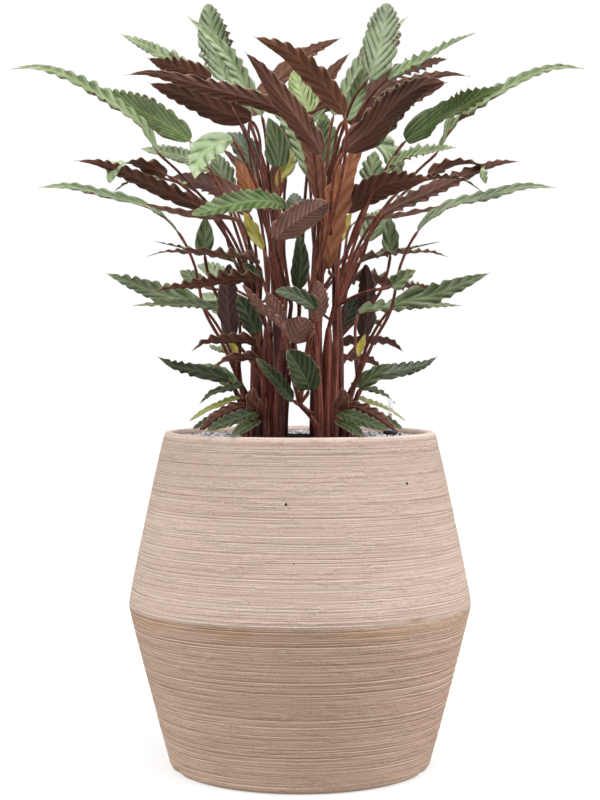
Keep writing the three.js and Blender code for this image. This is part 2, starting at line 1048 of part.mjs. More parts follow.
function soilSolid() {
  const inside = (height) => outerRadius(height) - WALL - FIT_GAP;
  const bed = MULCH_TOP - MULCH_DEPTH - FIT_GAP;
  const floor = FLOOR + FIT_GAP;
  let soil = turned([
    [0, floor],
    [inside(floor), floor],
    [inside(WAIST_HEIGHT), WAIST_HEIGHT],
    [inside(bed), bed],
    [MULCH_HOLE_RADIUS - FIT_GAP, bed],
    [MULCH_HOLE_RADIUS - FIT_GAP, MULCH_TOP - 2],
    [MULCH_HOLE_RADIUS - 10, SOIL_MOUND_TOP],
    [0, SOIL_MOUND_TOP],
  ], PLANTER_SIDES);
  for (const { root, radius } of allShoots) {
    soil = soil.subtract(plainHole(root, radius, SHOOT_SIDES, SOIL_MOUND_TOP - ROOT_DEPTH));
  }
  return soil.subtract(plainHole(GAUGE_PLACE, GAUGE_TUBE_RADIUS, GAUGE_SIDES, GAUGE_FOOT));
}

function barrel(radius, bottom, top) {
  return prism(GAUGE_PLACE, radius, GAUGE_SIDES, bottom, top);
}

function gaugeTubeSolid() {
  const bore = barrel(GAUGE_BORE_RADIUS, GAUGE_FOOT + 2, GAUGE_TOP + 1);
  return barrel(GAUGE_TUBE_RADIUS, GAUGE_FOOT, GAUGE_TOP).subtract(bore);
}

function gaugeFloatSolid() {
  const half = GAUGE_FLOAT_HEIGHT / 2;
  return barrel(GAUGE_BORE_RADIUS - FIT_GAP, GAUGE_FOOT + 2 + FIT_GAP, GAUGE_FLOAT_MIDDLE + half);
}

function gaugeCapSolid() {
  const bottom = MULCH_TOP - GAUGE_CAP_SINK;
  const bore = barrel(GAUGE_TUBE_RADIUS + FIT_GAP, bottom - 1, bottom + GAUGE_CAP_HEIGHT + 1);
  return barrel(GAUGE_CAP_RADIUS, bottom, bottom + GAUGE_CAP_HEIGHT).subtract(bore);
}

function geometryOf(solid) {
  const mesh = solid.getMesh();
  const geometry = new THREE.BufferGeometry();
  geometry.setAttribute('position', new THREE.BufferAttribute(new Float32Array(mesh.vertProperties), 3));
  geometry.setIndex(new THREE.BufferAttribute(new Uint32Array(mesh.triVerts), 1));
  geometry.computeVertexNormals();
  return geometry;
}

function paint(color, roughness, metalness = 0) {
  return new THREE.MeshStandardMaterial({ color, roughness, metalness });
}

const castStone = paint(0xc3a998, 0.85);
const chips = paint(0xb9bcc0, 0.8);
const pottingSoil = paint(0x241c18, 0.95);
const clearPlastic = paint(0xdfe6e6, 0.15);
const capPlastic = paint(0x1f1626, 0.35);
const floatPlastic = paint(0xe9a21c, 0.5);
const leafGreen = paint(0x7f9460, 0.5);
const leafPurple = paint(0x5e3a38, 0.55);

const gaugeHole = plainHole(GAUGE_PLACE, GAUGE_TUBE_RADIUS, GAUGE_SIDES, GAUGE_FOOT);
const capRecess = plainHole(GAUGE_PLACE, GAUGE_CAP_RADIUS, GAUGE_SIDES, MULCH_TOP - GAUGE_CAP_SINK);
const plant = new THREE.Group();

function addPiece(name, solid, material) {
  const piece = new THREE.Mesh(geometryOf(solid), material);
  piece.name = name;
  plant.add(piece);
}

addPiece('planter', planterSolid(), castStone);
addPiece('soil', soilSolid(), pottingSoil);
addPiece('mulch', mulchSolid().subtract(gaugeHole).subtract(capRecess), chips);
addPiece('gauge_tube', gaugeTubeSolid(), clearPlastic);
addPiece('gauge_float', gaugeFloatSolid(), floatPlastic);
addPiece('gauge_cap', gaugeCapSolid(), capPlastic);
for (const shoot of allShoots) {
  addPiece(`shoot_${shoot.name}`, shootSolid(shoot), shoot.purple ? leafPurple : leafGreen);
}

export default plant;
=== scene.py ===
import itertools
import math

import bpy
import numpy as np
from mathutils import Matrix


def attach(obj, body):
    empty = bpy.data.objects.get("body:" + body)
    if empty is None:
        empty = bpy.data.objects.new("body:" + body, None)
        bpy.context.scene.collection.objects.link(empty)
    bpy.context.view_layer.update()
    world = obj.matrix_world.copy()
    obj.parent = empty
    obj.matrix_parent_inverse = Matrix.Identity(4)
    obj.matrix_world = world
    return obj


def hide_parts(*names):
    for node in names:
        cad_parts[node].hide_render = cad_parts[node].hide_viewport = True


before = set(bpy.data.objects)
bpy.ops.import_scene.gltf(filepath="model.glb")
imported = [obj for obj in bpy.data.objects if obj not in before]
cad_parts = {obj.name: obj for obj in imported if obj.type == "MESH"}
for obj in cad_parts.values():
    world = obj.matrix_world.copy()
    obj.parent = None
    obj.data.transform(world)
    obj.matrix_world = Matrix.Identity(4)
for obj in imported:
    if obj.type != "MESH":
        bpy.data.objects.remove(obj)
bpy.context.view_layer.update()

# Sizes in millimetres until a mesh is made, as in the solids. +Z is up and the front faces -Y.
MM = 0.001
FULL_TURN = 2 * math.pi
UP = np.array([0.0, 0.0, 1.0])
TO_VIEWER = np.array([0.0, -1.0, 0.0])
SEED = 1869

PLANTER_HEIGHT = 417
RIM_RADIUS = 170
WAIST_RADIUS = 214
WAIST_HEIGHT = 201
BASE_RADIUS = 162
WALL = 15
FLOOR = 16

MULCH_TOP = 411
MULCH_BOTTOM = 399
MULCH_HOLE_RADIUS = 86
SOIL_MOUND_TOP = 412

GAUGE_PLACE = (115, 40)
GAUGE_TUBE_RADIUS = 3.4
GAUGE_BORE_RADIUS = 2.2
GAUGE_TOP = 457
GAUGE_FOOT = 330
GAUGE_CAP_RADIUS = 9.5
GAUGE_CAP_BOTTOM = 409.5
GAUGE_CAP_HEIGHT = 7
GAUGE_FLOAT_TOP = 438
GAUGE_FLOAT_MARK = 5

# The eye from which the leaves' places are given, and the upright axis that paired shoots are turned about
EYE_DISTANCE = 2200
EYE_HEIGHT = 518
PLANT_AXIS = -3

# Colours of the leaves: upper sides, then undersides (sRGB)
TONES = {
    "mint": (162, 181, 138), "silver": (188, 206, 170), "haze": (142, 156, 124),
    "sage": (129, 146, 102), "deep": (70, 94, 14), "fresh": (87, 112, 50), "moss": (54, 68, 34),
    "fern": (99, 114, 74), "lime": (200, 216, 156), "jade": (116, 132, 98), "citron": (158, 162, 62),
    "gold": (210, 188, 62), "olive": (178, 166, 48), "plum": (116, 75, 60), "wine": (108, 65, 49),
    "dusk": (60, 38, 33), "rust": (128, 80, 52), "mauve": (150, 108, 96), "copper": (200, 128, 84),
    "straw": (172, 140, 96),
}
# The silver leaf's twin faces the light, so it is given the deeper haze tone: painted shade
SHADED_TWIN_TONES = {"silver": "haze"}
STEM_TONES = ((115, 57, 46), (93, 43, 36), (128, 70, 56), (79, 36, 31), (119, 60, 49))
PETIOLE_TONES = ((108, 55, 43), (86, 43, 34), (132, 73, 56))

# Places are seen from the front: (across, up) on the plane through the planter's axis, and depth behind it.
# A shoot: name, root (across, depth), fork, radius, kind of twin in a pair, leaves.
# A leaf: petiole, blade, width, face at the blade's base and at its tip, pleat pitch, upper tone, under tone.
# The face turns from 0, upper side up, to 90, upper side to the viewer, or -90, underside to the viewer.
PAIRED_SHOOTS = [
    ("tall", (-38, 12), (-42, 551, 14), 9, "turned", [
        ([(-85, 660, 16), (-150, 739, 15)], [(-178, 766, 15), (-198, 799, 17), (-240, 830, 22),
         (-290, 859, 28), (-328, 870, 30), (-361, 868, 30)], 19, 8, 75, 20, "sage", "plum"),
        ([(-75, 672, 40), (-119, 754, 62)], [(-138, 779, 70), (-172, 802, 95), (-210, 822, 145),
         (-260, 848, 200)], 36, 65, 65, 23, "deep", "plum"),
    ]),
    ("high", (-24, -22), (-35, 641, -20), 6, "turned", [
        ([(-52, 754, 10), (-92, 831, 45)], [(-116, 856, 60), (-160, 879, 105), (-194, 898, 155),
         (-224, 912, 205)], 20, 60, 60, 18, "sage", "plum"),
        ([(-60, 766, -30), (-95, 835, -22)], [(-112, 854, -20), (-156, 870, -60), (-190, 881, -105)],
         24, -50, -50, 17, "deep", "plum"),
        ([(-48, 748, -5), (-52, 789, 5)], [(-62, 805, 8), (-92, 812, 0), (-128, 828, -12),
         (-190, 851, -40)], 34, -60, -60, 20, "sage", "wine"),
    ]),
    ("crown", (-25, 22), (-26, 629, 26), 6, "turned", [
        ([(-48, 754, 40), (-75, 835, 58)], [(-91, 855, 60), (-104, 891, 55), (-115, 949, 40)],
         40, 80, 80, 13, "silver", "mauve"),
        ([(-42, 741, 44)], [(-64, 804, 42), (-78, 839, 50), (-88, 871, 70)],
         20, 70, 70, 13, "mint", "mauve"),
        ([(-38, 729, 10)], [(-48, 811, -5), (-66, 844, -8), (-86, 879, -15), (-116, 911, -25),
         (-141, 934, -35)], 19, 70, 70, 16, "mint", "plum"),
    ]),
    ("reach", (22, -38), (22, 604, -45), 6, "turned", [
        ([(22, 704, -50), (14, 776, -55)], [(2, 801, -60), (-38, 822, -75), (-119, 845, -125),
         (-188, 862, -165), (-219, 859, -185)], 20, -55, -60, 21, "sage", "plum"),
        ([(29, 704, -98)], [(25, 762, -106), (8, 790, -108), (-28, 838, -117), (-50, 869, -123),
         (-70, 890, -130)], 27, -70, -70, 22, "sage", "wine"),
        ([], [(25, 704, -50), (21, 735, -49), (9, 775, -44), (-12, 809, -38)],
         20, -70, -70, 20, "olive", "rust"),
        ([(15, 679, -25)], [(11, 736, -22), (-1, 774, -21), (-18, 801, -22), (-40, 821, -26)],
         18, 70, 70, 15, "mint", "plum"),
    ]),
    ("arch", (24, -58), (10, 591, -85), 5, "turned", [
        ([(48, 716, -125), (58, 785, -145)], [(54, 811, -150), (31, 844, -165), (-12, 885, -190),
         (-59, 908, -220)], 25, -60, -60, 20, "deep", "rust"),
    ]),
    ("inner", (-28, -50), (-18, 554, -64), 5, "turned", [
        ([(-25, 685, -80)], [(-26, 746, -88), (-30, 779, -95), (-40, 809, -100)],
         28, 75, 75, 22, "fern", "plum"),
        ([], [(-28, 722, -60), (-15, 748, -62), (-11, 770, -60)], 15, 60, 60, 26, "olive", "rust"),
        ([(-32, 604, -88)], [(-46, 644, -98), (-58, 665, -104), (-71, 692, -108)],
         16, 60, 60, 26, "gold", "straw"),
        ([(-48, 704, -100), (-74, 764, -130)], [(-84, 779, -140), (-110, 771, -172), (-125, 754, -198),
         (-131, 729, -225)], 36, 70, 70, 26, "mint", "plum"),
    ]),
    ("middle", (-48, 45), (-52, 579, 55), 5, "turned", [
        ([(-55, 641, 50)], [(-64, 689, 50), (-106, 721, 95), (-138, 729, 130), (-169, 732, 170)],
         32, -65, -65, 19, "sage", "wine"),
        ([(-75, 654, 75), (-98, 716, 85)], [(-115, 741, 92), (-141, 758, 130), (-169, 765, 170),
         (-200, 770, 225)], 22, 60, 60, 14, "sage", "mauve"),
        ([(-94, 666, 50)], [(-125, 712, 42), (-169, 731, 50), (-206, 731, 62), (-234, 715, 72)],
         18, 0, 0, 15, "sage", "plum"),
        ([(-88, 591, 90)], [(-121, 598, 110), (-138, 610, 120), (-151, 618, 130)],
         18, 70, 70, 14, "fern", "plum"),
    ]),
    ("long", (-56, -25), (-55, 579, -36), 6, "turned", [
        ([(-85, 638, -34), (-96, 671, -30)], [(-110, 688, -32), (-169, 716, -70), (-219, 739, -102),
         (-252, 751, -122), (-282, 754, -140)], 20, -60, -60, 19, "sage", "wine"),
        ([(-62, 641, -66)], [(-71, 675, -88), (-138, 686, -135), (-200, 702, -180)],
         15, -30, -30, 26, "sage", "mauve"),
        ([(-81, 641, -60), (-125, 704, -75)], [(-166, 736, -80), (-206, 750, -95), (-228, 748, -105),
         (-238, 726, -112)], 22, -70, 60, 13, "mint", "wine"),
    ]),
    ("outer", (-60, 8), (-80, 489, 10), 6, "turned", [
        ([(-98, 529, -5), (-119, 568, -10), (-132, 626, -18)], [(-154, 668, -22), (-188, 696, -32),
         (-238, 710, -42), (-288, 722, -52), (-326, 721, -62)], 19, 10, 64, 22, "jade", "plum"),
        ([(-92, 529, 22)], [(-125, 574, 28), (-169, 586, 40), (-216, 604, 55), (-244, 615, 62)],
         25, 60, 60, 19, "fern", "plum"),
        ([], [(-79, 510, -2), (-82, 524, -3), (-88, 539, -4)], 9, 80, 80, 26, "gold", "straw"),
        ([(-75, 522, -15)], [(-80, 564, -30), (-125, 574, -60), (-162, 575, -95), (-209, 574, -140)],
         16, 50, 50, 18, "fern", "plum"),
    ]),
    ("side", (-48, -45), (-58, 541, -64), 5, "turned", [
        ([], [(-75, 622, -80), (-125, 640, -68), (-181, 654, -60)], 20, 5, 5, 17, "fern", "plum"),
        ([], [(-52, 625, -80), (-100, 636, -100), (-165, 641, -132), (-191, 635, -150)],
         20, -14, -14, 17, "sage", "mauve"),
        ([], [(-52, 601, -85), (-125, 600, -145), (-156, 596, -180), (-185, 592, -215)],
         24, -35, -35, 18, "sage", "wine"),
        ([], [(-50, 608, -82), (-60, 616, -88), (-72, 626, -94)], 13, 60, 60, 13, "moss", "plum"),
        ([(-106, 591, -70)], [(-119, 639, -78), (-118, 664, -80), (-118, 686, -84)],
         20, 80, 80, 19, "fern", "plum"),
    ]),
    ("low", (-40, -66), (-48, 489, -78), 5, "turned", [
        ([], [(-52, 524, -85), (-85, 530, -100), (-118, 528, -115), (-136, 516, -125)],
         20, -35, -35, 16, "moss", "plum"),
        ([], [(-55, 506, -90), (-85, 508, -110), (-110, 495, -130)], 16, -40, -40, 15, "moss", "plum"),
        ([(-68, 514, -84)], [(-84, 535, -88), (-90, 579, -90), (-88, 626, -88)],
         24, -75, -75, 13, "moss", "dusk"),
        ([], [(-55, 539, -95), (-66, 564, -102), (-78, 586, -110)], 22, 70, 70, 13, "moss", "plum"),
    ]),
    ("foot", (-69, -8), (-71, 444, -10), 4, "turned", [
        ([(-80, 464, -14)], [(-90, 481, -18), (-119, 490, -36), (-160, 500, -66), (-179, 511, -76)],
         19, 60, 60, 16, "moss", "plum"),
        ([], [(-82, 472, -4), (-102, 490, 2), (-121, 502, 10)], 18, 70, 70, 15, "fern", "plum"),
        ([], [(-71, 474, -30), (-88, 471, -45), (-109, 465, -62), (-126, 451, -85)],
         9, 50, 50, 15, "moss", "plum"),
        ([], [(-75, 458, -30), (-96, 452, -45), (-116, 444, -60), (-138, 430, -80)],
         8, 40, 40, 10, "citron", "rust"),
    ]),
    ("skirt", (-65, -42), (-66, 435, -46), 4, "mirrored", [
        ([], [(-71, 444, -58), (-104, 434, -74), (-134, 420, -92)], 13, 55, 55, 12, "moss", "plum"),
        ([], [(-70, 448, -72), (-98, 438, -92), (-126, 418, -112)], 14, -60, -60, 12, "moss", "plum"),
        ([], [(-55, 440, -80), (-82, 431, -112), (-116, 418, -140)], 17, 60, 60, 12, "moss", "plum"),
        ([], [(-55, 430, -85), (-68, 422, -120), (-85, 411, -155)], 15, 60, 60, 11, "moss", "plum"),
        ([], [(-52, 444, -85), (-60, 456, -95), (-58, 471, -100)], 14, -70, -70, 11, "moss", "wine"),
    ]),
]
SINGLE_SHOOTS = [
    ("back_a", (19, 76), (15, 579, 110), 4, [
        ([(28, 672, 145)], [(35, 731, 165), (32, 779, 205), (28, 819, 255)],
         32, 50, 30, 16, "deep", "plum"),
        ([(6, 641, 150)], [(0, 674, 190), (-4, 698, 235), (-8, 716, 285)], 30, 40, 20, 15, "moss", "plum"),
        ([(50, 616, 150)], [(82, 654, 178), (100, 685, 210), (112, 698, 255)],
         32, 30, 10, 16, "sage", "rust"),
        ([], [(45, 554, 150), (78, 559, 185), (105, 546, 225)], 24, 10, 0, 16, "deep", "plum"),
        ([(65, 654, 118)], [(88, 724, 116), (90, 745, 118), (94, 768, 122)],
         27, 60, 60, 17, "sage", "plum"),
    ]),
    ("back_b", (-35, 70), (-40, 591, 100), 4, [
        ([(-48, 679, 140)], [(-56, 741, 180), (-75, 779, 225), (-90, 791, 275)],
         34, 30, 10, 16, "moss", "mauve"),
        ([(-48, 579, 130)], [(-92, 601, 165), (-110, 618, 205), (-128, 626, 250)],
         28, 45, 30, 15, "sage", "plum"),
        ([(-44, 648, 104)], [(-54, 700, 102), (-65, 724, 103), (-80, 756, 106)],
         26, -68, -68, 24, "sage", "copper"),
        ([(-38, 654, 130)], [(-48, 711, 150), (-71, 744, 158), (-98, 771, 168)],
         15, -60, -60, 20, "sage", "mauve"),
        ([(-62, 648, 150)], [(-88, 716, 190), (-98, 739, 205), (-106, 766, 230)],
         28, 60, 60, 16, "fern", "plum"),
    ]),
    ("back_c", (-68, 30), (-75, 479, 45), 4, [
        ([], [(-85, 510, 75), (-100, 522, 115), (-110, 519, 160)], 24, 10, 0, 15, "sage", "plum"),
        ([(-80, 529, 80)], [(-90, 556, 105), (-105, 576, 140), (-118, 590, 190)],
         26, 35, 20, 13, "mint", "plum"),
    ]),
    ("front", (-24, -70), (-10, 579, -86), 5, [
        ([(-25, 626, -120)], [(-29, 656, -150), (-5, 678, -175), (35, 702, -215)],
         32, -70, -70, 9, "sage", "mauve"),
        ([(-20, 641, -90)], [(-20, 695, -110), (-48, 704, -140), (-75, 701, -165), (-135, 686, -215)],
         26, 70, 70, 13, "fresh", "plum"),
    ]),
    ("right_big", (49, 10), (42, 616, -8), 6, [
        ([(38, 698, -96), (45, 746, -103)], [(56, 766, -102), (88, 791, -106), (125, 829, -118),
         (156, 848, -130), (185, 851, -142)], 37, -65, -65, 22, "sage", "wine"),
        ([], [(36, 619, -44), (41, 676, -72), (59, 741, -85), (84, 782, -75)],
         34, -65, -65, 26, "sage", "copper"),
        ([(56, 729, 30)], [(78, 816, 60), (100, 841, 80), (125, 864, 100)],
         36, -60, -60, 16, "sage", "wine"),
    ]),
    ("centre_top", (-20, 0), (0, 566, 2), 5, [
        ([(6, 704, 0), (12, 779, 5)], [(10, 814, 8), (2, 839, 5), (-8, 866, 0)],
         32, 75, 75, 10, "lime", "mauve"),
        ([], [(-2, 596, -20), (1, 631, -24), (-2, 668, -25)], 20, 70, 70, 14, "moss", "plum"),
    ]),
    ("centre_low", (22, -78), (-4, 454, -90), 4, [
        ([(10, 529, -110)], [(19, 568, -120), (-5, 586, -135), (-31, 592, -150)],
         18, 70, 70, 11, "moss", "plum"),
        ([], [(-5, 526, -110), (-1, 544, -120), (2, 560, -130)], 36, -60, -60, 9, "moss", "mauve"),
        ([], [(11, 469, -105), (0, 494, -125), (-16, 518, -140)], 36, 65, 65, 11, "moss", "plum"),
        ([], [(-9, 456, -100), (-31, 482, -120), (-55, 508, -140)], 16, 60, 60, 11, "moss", "plum"),
        ([(-14, 504, -94)], [(-22, 548, -100), (-32, 571, -112), (-41, 590, -120)],
         18, -60, -60, 8, "moss", "mauve"),
        ([(12, 522, -92)], [(18, 555, -96), (25, 579, -104), (21, 605, -110)],
         19, -60, -60, 8, "moss", "mauve"),
        ([(-11, 510, -125)], [(-20, 544, -135), (-48, 571, -155), (-72, 600, -175)],
         10, -40, -40, 11, "moss", "mauve"),
    ]),
]


# Meshes

class Pile:
    """Points, faces and point attributes of one piece, added part by part."""

    # vein: pleats counted along a blade, a stalk's ridges, or how deep a line is cut into the planter.
    # away: mm from a blade's midrib. rim: mm from its edge, or a stain on the planter. tint: linear colour,
    # or on the planter a factor that carries painted shade and painted light.
    FIELDS = ("vein", "away", "rim", "tint")

    def __init__(self):
        self.points, self.faces, self.slots = [], [], []
        self.fields = {name: [] for name in self.FIELDS}
        self.count = 0

    def add(self, points, faces, slots, **fields):
        points = np.asarray(points, float).reshape(-1, 3)
        for block, slot in zip(faces, slots):
            self.faces.append(np.asarray(block, np.int64) + self.count)
            self.slots.append(np.full(len(block), slot))
        for name in self.FIELDS:
            shape = (len(points), 3) if name == "tint" else (len(points),)
            self.fields[name].append(np.broadcast_to(fields.get(name, 0.0), shape))
        self.points.append(points)
        self.count += len(points)

    def piece(self, name, materials, node, smooth=True):
        """Make the mesh, in metres, and let it stand for a node of the solids."""
        mesh = bpy.data.meshes.new(name)
        corners = np.concatenate([block.ravel() for block in self.faces])
        sizes = np.concatenate([np.full(len(block), block.shape[1]) for block in self.faces])
        starts = np.concatenate([[0], np.cumsum(sizes)[:-1]])
        mesh.vertices.add(self.count)
        mesh.loops.add(len(corners))
        mesh.polygons.add(len(sizes))
        for layer, key, values, kind in (
                (mesh.vertices, "co", (np.concatenate(self.points) * MM).ravel(), np.float32),
                (mesh.loops, "vertex_index", corners, np.int32),
                (mesh.polygons, "loop_start", starts, np.int32),
                (mesh.polygons, "material_index", np.concatenate(self.slots), np.int32),
                (mesh.polygons, "use_smooth", np.full(len(sizes), smooth), bool)):
            layer.foreach_set(key, values.astype(kind))
        for field in self.FIELDS:
            values, kind, key = np.concatenate(self.fields[field]), "FLOAT", "value"
            if field == "tint":
                values, kind, key = np.c_[values, np.ones(self.count)], "FLOAT_COLOR", "color"
            mesh.attributes.new(field, kind, "POINT").data.foreach_set(key, values.ravel().astype(np.float32))
        mesh.update(calc_edges=True)
        mesh.validate()
        for material in materials:
            mesh.materials.append(material)
        made = add_object(name, mesh)
        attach(made, "root")
        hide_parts(node)


def add_object(name, data):
    made = bpy.data.objects.new(name, data)
    bpy.context.scene.collection.objects.link(made)
    return made


def grid(rows, columns, closed=True):
    """Faces of a grid of points, row by row; closed joins the last column to the first."""
    row = np.arange(rows - 1)[:, None] * columns
    column = np.arange(columns if closed else columns - 1)[None, :]
    following = (column + 1) % columns
    return np.stack([row + column, row + following, row + columns + following, row + columns + column],
                    -1).reshape(-1, 4)


def clamp(values):
    return np.clip(values, 0, 1)


def round_turn(columns):
    """Angles all round, as a row."""
    return np.linspace(0, FULL_TURN, columns, endpoint=False)[None, :]


def unit(vectors):
    return vectors / np.maximum(np.linalg.norm(vectors, axis=-1, keepdims=True), 1e-9)


def skin(pile, rings, ends=None, slot=0, **fields):
    """A closed skin over rings of points. Its ends meet in two points or, without them, in each other."""
    rows, columns = rings.shape[:2]
    count = rows * columns
    if ends is None:
        closing = grid(2, columns)
        closing = np.where(closing >= columns, closing - columns, closing + count - columns)
        pile.add(rings, [grid(rows, columns), closing], [slot] * 2, **fields)
        return
    for name, values in fields.items():
        flat = np.broadcast_to(values, (rows, columns, 3) if name == "tint" else (rows, columns))
        flat = flat.reshape((count,) + flat.shape[2:])
        fields[name] = np.concatenate([flat, flat[:1], flat[-1:]])
    ring = np.arange(columns)
    following = np.roll(ring, -1)
    first = np.stack([following, ring, np.full(columns, count)], -1)
    last = np.stack([ring + count - columns, following + count - columns, np.full(columns, count + 1)], -1)
    points = np.concatenate([rings.reshape(-1, 3), ends])
    pile.add(points, [grid(rows, columns), first, last], [slot] * 3, **fields)


def tube(pile, centres, first, second, radii, slot, **fields):
    """A closed stalk: rings about the centres in the plane of two directions.
    radii has a number for every point. Returns the surface's points and the ways out from them."""
    turn = round_turn(radii.shape[1])[:, :, None]
    spokes = np.cos(turn) * first[:, None, :] + np.sin(turn) * second[:, None, :]
    rings = centres[:, None, :] + spokes * radii[:, :, None]
    skin(pile, rings, [centres[0], centres[-1]], slot, **fields)
    return rings.reshape(-1, 3), spokes.reshape(-1, 3)


def ring_grid(profile, columns):
    """Angles, radii and heights of the rings that (radius, height) pairs make."""
    profile = np.asarray(profile, float)
    turn = round_turn(columns) + 0 * profile[:, :1]
    return turn, profile[:, :1] + 0 * turn, profile[:, 1:] + 0 * turn


def lathe(pile, turn, radius, height, centre=(0, 0), looped=False, **fields):
    """A solid of revolution, closed on the axis, or looped: its last ring joined to its first."""
    rings = np.stack([centre[0] + radius * np.cos(turn), centre[1] + radius * np.sin(turn), height], -1)
    ends = None if looped else [[*centre, height[0].mean()], [*centre, height[-1].mean()]]
    skin(pile, rings, ends, **fields)


def smooth_noise(turn, height, around, step, seed):
    """Soft noise from -1 to 1 over an angle, which it meets itself round, and a height in mm."""
    levels = 4096
    table = np.random.default_rng(seed).uniform(-1, 1, (around, levels))
    u, v = (turn / FULL_TURN % 1.0) * around, height / step + 500
    iu, iv = np.floor(u).astype(int), np.floor(v).astype(int)
    fu, fv = u - iu, v - iv
    fu, fv = fu * fu * (3 - 2 * fu), fv * fv * (3 - 2 * fv)
    iu, ju = iu % around, (iu + 1) % around
    iv, jv = iv % levels, (iv + 1) % levels
    low = table[iu, iv] * (1 - fu) + table[ju, iv] * fu
    high = table[iu, jv] * (1 - fu) + table[ju, jv] * fu
    return low * (1 - fv) + high * fv


# Materials

def linear(tone):
    """Linear colour from sRGB numbers of 0 to 255."""
    share = np.asarray(tone, float) / 255
    return np.where(share <= 0.04045, share / 12.92, ((share + 0.055) / 1.055) ** 2.4)


def rgba(*tone):
    return (*linear(tone), 1.0)


class Finish:
    """A procedural material and short ways to its nodes."""

    def __init__(self, name, **sockets):
        self.material = bpy.data.materials.new(name)
        self.material.use_nodes = True
        self.tree = self.material.node_tree
        self.shader = self.tree.nodes["Principled BSDF"]
        for key, value in sockets.items():
            self.shader.inputs[key.replace("_", " ")].default_value = value

    def node(self, kind, inputs, output=0, **settings):
        """An output of a new node. Each input, by name or number, is a value or another node's output."""
        made = self.tree.nodes.new("ShaderNode" + kind)
        for key, value in settings.items():
            setattr(made, key, value)
        for key, value in inputs.items():
            if isinstance(value, bpy.types.NodeSocket):
                self.tree.links.new(value, made.inputs[key])
            else:
                made.inputs[key].default_value = value
        return made.outputs[output]

    def field(self, name, output="Fac"):
        return self.node("Attribute", {}, output, attribute_name=name)

    def place(self, stretch=(1, 1, 1)):
        """Object coordinates, stretched by three numbers."""
        source = self.node("TexCoord", {}, "Object")
        return self.node("VectorMath", {0: source, 1: stretch}, operation="MULTIPLY")

    def noise(self, scale, detail=4, roughness=0.55, stretch=(1, 1, 1)):
        return self.node("TexNoise", {"Vector": self.place(stretch), "Scale": scale, "Detail": detail,
                                      "Roughness": roughness}, "Fac")

    def math(self, operation, a, b=0.0):
        return self.node("Math", {0: a, 1: b}, operation=operation)

    def total(self, *parts):
        """The sum of values, each times a number."""
        whole = self.math("MULTIPLY", *parts[0])
        for value, share in parts[1:]:
            whole = self.math("ADD", whole, self.math("MULTIPLY", value, share))
        return whole

    def span(self, value, low, high, to_low=0.0, to_high=1.0):
        return self.node("MapRange", {"Value": value, "From Min": low, "From Max": high, "To Min": to_low,
                                      "To Max": to_high}, interpolation_type="SMOOTHSTEP")

    def mix(self, share, a, b, kind="MIX"):
        factor, colour_a, colour_b, mixed = 0, 6, 7, 2
        return self.node("Mix", {factor: share, colour_a: a, colour_b: b}, mixed,
                         data_type="RGBA", blend_type=kind)

    def times(self, colour, *tone):
        return self.mix(1.0, colour, rgba(*tone), "MULTIPLY")

    def layers(self, colour, *rows):
        """A colour with tones laid on it. A row has a value, where on it the tone starts and is full, the
        tone's share, and the tone."""
        for value, start, full, share, tone in rows:
            tone = rgba(*tone) if isinstance(tone, tuple) else tone
            colour = self.mix(self.span(value, start, full, 0.0, share), colour, tone)
        return colour

    def wear(self, colour, rough, rough_range, height=None, strength=0.0, depth=0.0, limits=(0.3, 0.7)):
        """Link a colour, a roughness that follows a value between limits, and a bump, its depth in metres."""
        links = {"Base Color": colour, "Roughness": self.span(rough, *limits, *rough_range)}
        if height is not None:
            links["Normal"] = self.node("Bump", {"Height": height, "Strength": strength, "Distance": depth})
        for key, value in links.items():
            self.tree.links.new(value, self.shader.inputs[key])
        return self.material


def leaf_basis(f, mottle_scale, mottle_pull, ribs):
    """What both sides of a leaf share: its fields, mottling, the waves of its folds and its finest veins."""
    vein = f.field("vein")
    mottle = f.noise(mottle_scale, 5)
    wave = f.math("COSINE", f.math("MULTIPLY", vein, FULL_TURN))
    fold = f.math("SUBTRACT", f.total((wave, 1.0), (mottle, mottle_pull)), mottle_pull / 2)
    fine = f.math("SINE", f.math("MULTIPLY", vein, FULL_TURN * ribs))
    return f.field("away"), f.field("rim"), f.field("tint", "Color"), mottle, fold, fine


def leaf_upper():
    """Pale ridges and deep green valleys along the side veins, painted highlight and painted shade of the
    pleats; a thin pale midrib, a fine light edge, and a pale band inside the edge painted as a highlight.
    """
    f = Finish("leaf_upper", Specular_IOR_Level=0.4)
    away, rim, tint, mottle, fold, fine = leaf_basis(f, 55, 2.6, 7)
    light = f.node("RGBToBW", {0: tint})
    # Pale tone for the fine veins, and for the painted highlight on the pleats' crests and along the edge
    pale = f.mix(f.span(light, 0.06, 0.24, 0.16, 0.52), tint, rgba(210, 222, 192))
    midrib = f.mix(f.span(light, 0.06, 0.24, 0.26, 0.6), tint, rgba(206, 212, 142))
    # Painted shade: the pleats' valleys darkened to deep green, less so near the midrib
    valley = f.math("MULTIPLY", f.span(fold, 0.0, 1.1, 0.0, 0.92), f.span(away, 0.6, 6.0, 0.2, 1.0))
    colour = f.layers(f.mix(valley, tint, f.times(tint, 72, 102, 42)),
                      (fold, -0.5, -1.2, 0.6, pale),
                      (fine, -0.2, -1.0, 0.22, f.times(tint, 130, 150, 100)),
                      (fine, 0.4, 1.0, 0.26, pale),
                      (f.noise(26), 0.45, 0.66, 0.45, f.times(tint, 178, 190, 140)),
                      (away, 0.9, 0.35, 0.55, midrib),
                      (rim, 3.2, 0.6, 0.22, pale),
                      (rim, 0.4, 0.1, 0.45, (150, 120, 92)))
    return f.wear(colour, mottle, (0.32, 0.46), f.total((fine, 0.6), (f.noise(420, 2), 0.5)), 0.3, 0.0004)


